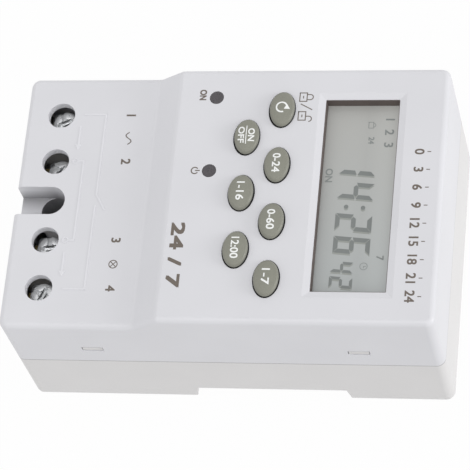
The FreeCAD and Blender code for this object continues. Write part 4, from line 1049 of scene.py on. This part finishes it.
class TIMER_OT_display(bpy.types.Operator):
    """Lays the digits and small signs on the glass and lines the window"""
    bl_idname = "timer.display"
    bl_label = "Display"

    # Bars of a digit: a top, b upper right, c lower right, d bottom, e lower left, f upper left, g middle
    LIT = {"1": "bc", "2": "abged", "4": "fgbc", "6": "afgecd"}
    # Width and height of a digit, and its bars' width against the set width
    SIZES = {"large": (4.9 * MM, 10.0 * MM, 1.0), "small": (3.2 * MM, 6.3 * MM, 0.66)}
    # How far a middle bar tapers, as a share of its width
    POINT = 0.45
    # Sign, middle and foot in millimetres, and size
    DIGITS = (("1", -10.35, 30.8, "large"), ("4", -3.1, 30.8, "large"), ("2", 6.45, 30.8, "large"),
              ("6", 13.2, 30.8, "large"), ("4", 19.7, 30.5, "small"), ("2", 24.2, 30.5, "small"))

    def execute(self, context):
        settings = context.scene.timer_display
        dark = ink_finish("digit_grey", settings.segment_colour, 0.04)
        pale = ink_finish("digit_shadow_grey", settings.shadow_colour, 0.03)
        faint = ink_finish("small_sign_grey", shade(settings.segment_colour, 1.25), 0.05)
        # Dark lining that darkens the walls of the window
        dark_lining = moulded("window_lining_dark", settings.gasket_colour, grain=0.2 * MM, patch=6 * MM,
                         spread=0.12, rough=(0.55, 0.75))
        shadow_level = GLASS_HEIGHT + 0.008 * MM
        digit_level = GLASS_HEIGHT + 0.022 * MM
        for name, level, offset, finish in (("digit_shadows", shadow_level, settings.shadow, pale),
                                            ("digits", digit_level, 0.0, dark)):
            flats = []
            for sign, x, y, size in self.DIGITS:
                flats.append(self.digit(settings, sign, x * MM + offset, y * MM, size, level))
            for x, y in ((2.1, 33.5), (2.4, 38.1)):
                flats.append(flat_dot(x * MM + offset, y * MM, 0.6 * MM, level))
            print_piece(flats, name, 0.01 * MM, finish)
        self.small_signs(digit_level, faint)
        self.line_window(dark_lining)
        return {"FINISHED"}

    def digit(self, settings, sign, x, y, size, level):
        """One seven-bar digit whose middle is x at its foot y, leaning to the right."""
        width, height, share = self.SIZES[size]
        bar = settings.bar * share
        gap = 0.1 * MM
        left, right = -(width - bar) / 2, (width - bar) / 2
        foot, top, middle = bar / 2, height - bar / 2, height / 2
        low, high = gap, height - gap
        outer = width / 2 - gap
        ends = {"a": ((-outer, top), (outer, top), -1, (1, 1)),
                "b": ((right, middle + gap), (right, high), 1, (0.5, 1)),
                "c": ((right, low), (right, middle - gap), 1, (1, 0.5)),
                "d": ((-outer, foot), (outer, foot), 1, (1, 1)),
                "e": ((left, low), (left, middle - gap), -1, (1, 0.5)),
                "f": ((left, middle + gap), (left, high), -1, (0.5, 1)),
                "g": ((left + gap, middle), (right - gap, middle), 0, (0, 0))}
        lean = math.tan(settings.slant)
        bars = []
        for letter in self.LIT[sign]:
            start, end, inner, cuts = ends[letter]
            start = Vector((x + start[0] + lean * start[1], y + start[1]))
            end = Vector((x + end[0] + lean * end[1], y + end[1]))
            if inner:
                bars.append(mitred_bar(start, end, bar, level, inner, cuts))
            else:
                bars.append(flat_stroke(start, end, bar, level, pointed=bar * self.POINT))
        return join(bars, "digit")

    def small_signs(self, level, faint):
        """Plain numerals, ON, a padlock and a clock face."""
        flats = [flat_text("1  2  3", -20.2 * MM, 43.7 * MM, 2.4 * MM, level, width=8.6 * MM,
                           bold=0.12 * MM),
                 flat_text("ON", -7.3 * MM, 28.1 * MM, 1.9 * MM, level, width=4.0 * MM, bold=0.1 * MM),
                 flat_text("7", 17.2 * MM, 43.7 * MM, 1.9 * MM, level, bold=0.1 * MM),
                 flat_text("24", -17.9 * MM, 38.9 * MM, 1.5 * MM, level, bold=0.1 * MM)]
        thin = 0.16 * MM
        lock_x, lock_y = -22.6 * MM, 38.6 * MM
        left, right = lock_x - 0.9 * MM, lock_x + 0.9 * MM
        foot, top = lock_y - 0.7 * MM, lock_y + 0.6 * MM
        flats += flat_path([(left, foot), (right, foot), (right, top), (left, top), (left, foot)],
                           thin, level)
        flats.append(flat_ring(lock_x, top, 0.6 * MM, thin, level, 0, 180))
        x, y = 19.7 * MM, 39.5 * MM
        flats.append(flat_ring(x, y, 1.0 * MM, thin, level))
        flats += flat_path([(x, y + 0.6 * MM), (x, y), (x + 0.5 * MM, y)], thin, level)
        print_piece(flats, "small_signs", 0.008 * MM, faint)

    def line_window(self, dark_lining):
        """Thin dark lining of the four walls between the glass and the white frame."""
        wall = 0.12 * MM
        slack = 0.01 * MM
        top = FACE_HEIGHT - WINDOW_BEVEL_DEPTH - wall
        lining = add_block((-WINDOW_X + slack, WINDOW_Y - WINDOW_HALF_WIDTH + slack, GLASS_HEIGHT + slack),
                           (WINDOW_X - slack, WINDOW_Y + WINDOW_HALF_WIDTH - slack, top))
        edit_all(lining)
        pick(lining, "FACE", lambda middle, normal: abs(normal.z) > 0.5)
        bpy.ops.mesh.delete(type="FACE")
        bpy.ops.mesh.select_all(action="SELECT")
        bpy.ops.mesh.normals_make_consistent(inside=False)
        set_mode("OBJECT")
        solid = lining.modifiers.new("Lining", "SOLIDIFY")
        solid.thickness = wall
        solid.offset = -1.0
        solid.use_rim = True
        apply_all_modifiers(lining)
        soften(lining, 0.03 * MM, segments=2)
        settle(lining, "window_lining", "housing", dark_lining)


class TIMER_OT_prints(bpy.types.Operator):
    """Adds the moulded circuit lines, the printed numerals and the plain signs"""
    bl_idname = "timer.prints"
    bl_label = "Prints and moulded lines"

    # Middles of the terminals' numbers in millimetres
    NUMBER_X = (-26.4, -12.0, 12.0, 26.4)
    # How much whiter the raised lines look than the cover
    RAISED_SHADE = 1.06

    def execute(self, context):
        settings = context.scene.timer_prints
        housing = context.scene.timer_housing
        white = moulded("raised_satin_white", shade(housing.cover_colour, self.RAISED_SHADE),
                        grain=housing.grain)
        ink = ink_finish("print_brown_grey", settings.ink_colour)
        self.moulded_lines(settings, white)
        self.scale_and_numbers(settings, ink)
        self.padlocks(settings, ink)
        return {"FINISHED"}

    def moulded_lines(self, settings, white):
        """Low relief on the deck: the switched line, the through line, end rings and arrows."""
        sink = 0.02 * MM
        level = DECK_HEIGHT - sink
        wide = settings.relief_width
        paths = [[(-26.7, -42.4), (-26.7, -36.45), (-1.9, -36.45), (2.8, -33.7)],
                 [(1.8, -36.45), (26.7, -36.45), (26.7, -42.5)],
                 [(-12.1, -42.5), (-12.1, -41.25), (12.1, -41.25), (12.1, -42.5)]]
        flats = []
        for path in paths:
            flats += flat_path([(x * MM, y * MM) for x, y in path], wide, level)
        for x in (-12.1, 12.1):
            flats.append(flat_ring(x * MM, -43.6 * MM, 0.75 * MM, 0.35 * MM, level, sides=24))
        row = -43.4 * MM
        for x in (-19.3, 19.3):
            tail, neck = x - 3.6, x + 2.2
            flats.append(flat_stroke((tail * MM, row), (neck * MM, row), wide, level))
            flats.append(flat_arrow_head((neck + 0.4) * MM, row, 1.1 * MM, 0, level))
        print_piece(flats, "moulded_lines", settings.relief + sink, white, edge=0.05 * MM)

    def scale_and_numbers(self, settings, ink):
        """Hour scale by the display, terminal numbers, lamp signs and the plain number row."""
        def printed(flats, name):
            print_piece(flats, name, settings.ink, ink)

        face, deck = FACE_HEIGHT, DECK_HEIGHT
        hours = range(0, 25, 3)
        first, last = -12.6, 30.0
        flats = []
        for index, hour in enumerate(hours):
            x = first + (last - first) * index / (len(hours) - 1)
            flats.append(flat_text(str(hour), x * MM, 52.9 * MM, 2.5 * MM, face, bold=0.14 * MM))
            flats.append(flat_stroke((x * MM, 55.0 * MM), (x * MM, 56.0 * MM), 0.25 * MM, face))
        printed(flats, "hour_scale")
        printed([flat_text("24 / 7", 18.5 * MM, -11.1 * MM, 3.5 * MM, face, width=19 * MM,
                           bold=0.36 * MM)], "face_numbers")
        printed([flat_text("ON", -30.1 * MM, -8.2 * MM, 1.8 * MM, face, width=3.1 * MM,
                           bold=0.15 * MM)], "first_lamp_sign")
        x, y = -6.8 * MM, -8.3 * MM
        printed([flat_ring(x, y, 0.95 * MM, 0.32 * MM, face, 125, 415),
                 flat_stroke((x, y + 0.1 * MM), (x, y + 1.4 * MM), 0.32 * MM, face)], "second_lamp_sign")
        row = -29.3 * MM
        for number, x in zip(TERMINALS, self.NUMBER_X):
            printed([flat_text(str(number), x * MM, row, 2.5 * MM, deck, bold=0.16 * MM)],
                    "terminal_number_%d" % number)
        x = -19.2 * MM
        wave = [(x + step * 0.3 * MM, row + 0.8 * MM * math.sin(step * math.pi / 6))
                for step in range(-6, 7)]
        printed(flat_path(wave, 0.28 * MM, deck), "supply_sign")
        x, radius = 19.2 * MM, 1.15 * MM
        slant = radius * math.sqrt(0.5)
        strokes = [flat_stroke((x - slant, row - lift), (x + slant, row + lift), 0.24 * MM, deck)
                   for lift in (slant, -slant)]
        printed([flat_ring(x, row, radius, 0.26 * MM, deck), *strokes], "load_sign")

    def padlocks(self, settings, ink):
        """Outlines of a shut and an open padlock beside the first key, with a stroke between."""
        face = FACE_HEIGHT
        thin = 0.28 * MM
        low_y, high_y, shoulder = 18.9 * MM, 20.9 * MM, 21.8 * MM
        half, bow = 1.3 * MM, 0.8 * MM
        flats = []
        for x, swing in ((-29.3 * MM, 0.0), (-23.5 * MM, 0.9 * MM)):
            flats += flat_path([(x - half, low_y), (x + half, low_y), (x + half, high_y),
                                (x - half, high_y), (x - half, low_y)], thin, face)
            middle = (low_y + high_y) / 2
            flats.append(flat_stroke((x - 0.4 * MM, middle), (x + 0.4 * MM, middle), thin, face))
            flats.append(flat_ring(x + swing, shoulder, bow, thin, face, 0, 180))
            for side in (-1,) if swing else (-1, 1):
                leg = x + swing + side * bow
                flats.append(flat_stroke((leg, high_y), (leg, shoulder), thin, face))
        flats.append(flat_stroke((-27.2 * MM, 19.3 * MM), (-25.4 * MM, 22.6 * MM), thin, face))
        print_piece(flats, "padlock_outlines", settings.ink, ink)


class TIMER_OT_finishes(bpy.types.Operator):
    """Gives every other piece the finish of its material"""
    bl_idname = "timer.finishes"
    bl_label = "Finishes"

    # Kind of finish of each material, and its own values
    RECIPES = {
        "cover_white": (moulded, {}),
        "base_white": (moulded, {}),
        "key_grey": (speckled, dict(speck=0.35 * MM, spread=0.08)),
        "lens_dark": (speckled, dict(speck=0.3 * MM, spread=0.3, rough=(0.25, 0.4))),
        "terminal_zinc": (metal, {}),
        "terminal_brass": (metal, dict(spread=0.2, rough=(0.35, 0.55))),
        "link_copper": (metal, dict(spread=0.2, rough=(0.3, 0.5))),
        "board_green": (board_finish, {}),
        "holder_plastic": (moulded, dict(rough=(0.45, 0.6))),
        "strip_rubber": (banded, dict(pitch=0.25 * MM, axis="X", dark=0.35, rough=(0.6, 0.8))),
        "switch_black": (speckled, dict(speck=0.2 * MM, spread=0.4)),
        "plunger_grey": (moulded, dict(spread=0.08)),
        "lamp_red": (speckled, dict(speck=0.8 * MM, spread=0.1, rough=(0.05, 0.12))),
        "chip_black": (speckled, dict(speck=0.15 * MM, spread=0.5, rough=(0.5, 0.7))),
        "part_steel": (metal, {}),
        "cell_steel": (metal, dict(stretch=(1, 30, 1), rough=(0.18, 0.3))),
        "ribbon_grey": (banded, dict(pitch=1.27 * MM, axis="X", dark=0.75)),
        "capacitor_box": (moulded, dict(spread=0.05, rough=(0.18, 0.3))),
        "can_sleeve": (moulded, dict(spread=0.1, rough=(0.15, 0.25))),
        "varistor_blue": (speckled, dict(speck=0.8 * MM, spread=0.12, rough=(0.1, 0.2), depth=0.05 * MM)),
        "resistor_body": (banded, dict(pitch=1.1 * MM, axis="Y", dark=0.45)),
        "relay_blue": (moulded, dict(spread=0.05, rough=(0.2, 0.32))),
        "relay_plastic": (moulded, dict(spread=0.08)),
        "relay_iron": (metal, dict(rough=(0.3, 0.48))),
        "winding_copper": (banded, dict(pitch=0.3 * MM, axis="Z", dark=0.45, rough=(0.2, 0.35),
                                        metallic=0.9)),
        "contact_alloy": (metal, {}),
        "clip_plastic": (moulded, {}),
        "spring_steel": (metal, dict(stretch=(12, 1, 1), rough=(0.25, 0.4))),
    }

    def execute(self, context):
        display = context.scene.timer_display
        # The lenses' own dark tint, and the brass darkened as painted shade, since it lies deep in the
        # wells
        tints_and_shade = {"lens_dark": LENS_COLOUR,
                  "terminal_brass": shade(SLOT_COLOURS["terminal_brass"], BRASS_SHADE)}
        finishes = {slot: make(slot, tints_and_shade.get(slot, SLOT_COLOURS[slot]), **values)
                    for slot, (make, values) in self.RECIPES.items()}
        finishes["display_glass"] = display_finish("display_glass", display.near_colour, display.far_colour)
        slot_of = {part["node"]: part["material_slot"] for part in frame["record"]["subparts"]}
        for name, node in nodes.items():
            finish = finishes[slot_of[name]]
            for place in node.material_slots:
                place.link = "DATA"
                place.material = finish
        return {"FINISHED"}


class TIMER_OT_studio(bpy.types.Operator):
    """Sets the pale floor, the soft light and the camera"""
    bl_idname = "timer.studio"
    bl_label = "Studio"

    # Camera: where it stands and how its picture lies, from the fit to the photograph
    CAMERA_PLACE = (0.3130362, 0.1491041, 0.6836275)
    PICTURE_RIGHT = (-0.0927, 0.9794, -0.1795)
    PICTURE_DOWN = (0.9027, 0.0066, -0.4303)
    SENSOR_WIDTH = 36.0
    CLIP = (0.05, 20.0)
    # Ways to the lamps
    END_LAMP_WAY = (0.05, 0.975, 0.21)
    FRONT_LAMP_WAY = (0.33, 0.0, 0.944)
    # Floor: side, drop under the switch, colour of its paper, and share of plain white for the camera
    FLOOR_SIDE = 6.0
    FLOOR_DROP = 0.3 * MM
    PAPER = (0.8, 0.8, 0.8, 1)
    WHITE_SHARE = 0.96

    def execute(self, context):
        settings = context.scene.timer_studio
        scene = context.scene
        scene.view_settings.view_transform = "Standard"
        self.floor(settings)
        self.room(settings, scene)
        self.lamp("end_lamp", self.END_LAMP_WAY, settings.end_lamp, settings.softness)
        self.lamp("front_lamp", self.FRONT_LAMP_WAY, settings.front_lamp, settings.softness)
        self.camera(settings, scene)
        return {"FINISHED"}

    def floor(self, settings):
        """White to the camera with a faint shadow, and an even pale light to the switch."""
        floor = added(bpy.ops.mesh.primitive_plane_add, size=self.FLOOR_SIDE,
                      location=(0, 0, -self.FLOOR_DROP))
        floor.name = "studio_floor"
        apply_place(floor)
        finish = bpy.data.materials.new("studio_white")
        finish.use_nodes = True
        tree = finish.node_tree
        tree.nodes.clear()
        out = tree.nodes.new("ShaderNodeOutputMaterial")
        paper = tree.nodes.new("ShaderNodeBsdfDiffuse")
        paper.inputs["Color"].default_value = self.PAPER
        white = self.glow(tree, "ShaderNodeEmission", 1.0)
        pale = self.glow(tree, "ShaderNodeEmission", settings.floor_light)
        seen = self.mix(tree, self.WHITE_SHARE, paper.outputs["BSDF"], white)
        tree.links.new(self.mix(tree, self.seen_rays(tree), pale, seen), out.inputs["Surface"])
        floor.data.materials.append(finish)

    def glow(self, tree, kind, strength):
        """White light of the given strength, from a surface or from the room."""
        node = tree.nodes.new(kind)
        node.inputs["Color"].default_value = (1, 1, 1, 1)
        node.inputs["Strength"].default_value = strength
        return node.outputs[0]

    def mix(self, tree, share, first, second):
        """Mix of two shaders; the share is a number or another node's output."""
        node = tree.nodes.new("ShaderNodeMixShader")
        if isinstance(share, bpy.types.NodeSocket):
            tree.links.new(share, node.inputs["Fac"])
        else:
            node.inputs["Fac"].default_value = share
        tree.links.new(first, node.inputs[1])
        tree.links.new(second, node.inputs[2])
        return node.outputs["Shader"]

    def seen_rays(self, tree):
        """1 for what the camera sees, straight or in a mirror or through glass."""
        rays = tree.nodes.new("ShaderNodeLightPath")
        value = rays.outputs["Is Camera Ray"]
        for kind in ("Is Glossy Ray", "Is Transmission Ray"):
            value = maths(tree, "MAXIMUM", value, rays.outputs[kind])
        return value

    def room(self, settings, scene):
        """White to the camera, and an even light of the set strength to the switch."""
        world = bpy.data.worlds.new("studio_room")
        world.use_nodes = True
        tree = world.node_tree
        tree.nodes.clear()
        out = tree.nodes.new("ShaderNodeOutputWorld")
        white = self.glow(tree, "ShaderNodeBackground", 1.0)
        sky = self.glow(tree, "ShaderNodeBackground", settings.sky)
        tree.links.new(self.mix(tree, self.seen_rays(tree), sky, white), out.inputs["Surface"])
        scene.world = world

    def lamp(self, name, way, strength, softness):
        """Soft lamp that shines from the given way."""
        data = bpy.data.lights.new(name, "SUN")
        data.energy = strength
        data.angle = softness
        lamp = bpy.data.objects.new(name, data)
        lamp.rotation_euler = (-Vector(way)).to_track_quat("-Z", "Y").to_euler()
        bpy.context.scene.collection.objects.link(lamp)

    def camera(self, settings, scene):
        """Camera at the photograph's place and angle."""
        data = bpy.data.cameras.new("studio_camera")
        data.lens = settings.lens
        data.sensor_width = self.SENSOR_WIDTH
        data.sensor_fit = "HORIZONTAL"
        data.clip_start, data.clip_end = self.CLIP
        camera = bpy.data.objects.new("studio_camera", data)
        right = Vector(self.PICTURE_RIGHT).normalized()
        up = -Vector(self.PICTURE_DOWN)
        up = (up - right * up.dot(right)).normalized()
        back = right.cross(up)
        turn = Matrix((right, up, back)).transposed()
        camera.matrix_world = Matrix.Translation(self.CAMERA_PLACE) @ turn.to_4x4()
        bpy.context.scene.collection.objects.link(camera)
        scene.camera = camera


class TIMER_PT_finish(bpy.types.Panel):
    """Lists the steps that dress the timer switch"""
    bl_idname = "TIMER_PT_finish"
    bl_label = "Timer switch"
    bl_space_type = "VIEW_3D"
    bl_region_type = "UI"
    bl_category = "Timer switch"

    def draw(self, context):
        for step in STEPS:
            self.layout.operator(step.bl_idname)
        for name in GROUPS:
            settings = getattr(context.scene, name)
            box = self.layout.box()
            for entry in settings.bl_rna.properties:
                if entry.identifier not in ("name", "rna_type"):
                    box.prop(settings, entry.identifier)


STEPS = [TIMER_OT_housing, TIMER_OT_clip_spring, TIMER_OT_keys, TIMER_OT_screws, TIMER_OT_display,
         TIMER_OT_prints, TIMER_OT_finishes, TIMER_OT_studio]
GROUPS = {"timer_housing": HousingSettings, "timer_keys": KeySettings, "timer_screws": ScrewSettings,
          "timer_display": DisplaySettings, "timer_prints": PrintSettings, "timer_studio": StudioSettings}


def register():
    for settings in GROUPS.values():
        bpy.utils.register_class(settings)
    for name, settings in GROUPS.items():
        setattr(bpy.types.Scene, name, PointerProperty(type=settings))
    for step in STEPS:
        bpy.utils.register_class(step)
    bpy.utils.register_class(TIMER_PT_finish)


def unregister():
    bpy.utils.unregister_class(TIMER_PT_finish)
    for step in reversed(STEPS):
        bpy.utils.unregister_class(step)
    for name in reversed(list(GROUPS)):
        delattr(bpy.types.Scene, name)
        bpy.utils.unregister_class(GROUPS[name])


def main():
    register()
    bpy.ops.timer.housing()
    bpy.ops.timer.clip_spring()
    bpy.ops.timer.keys()
    bpy.ops.timer.screws()
    bpy.ops.timer.display()
    bpy.ops.timer.prints()
    bpy.ops.timer.finishes()
    bpy.ops.timer.studio()


if __name__ == "__main__":
    main()
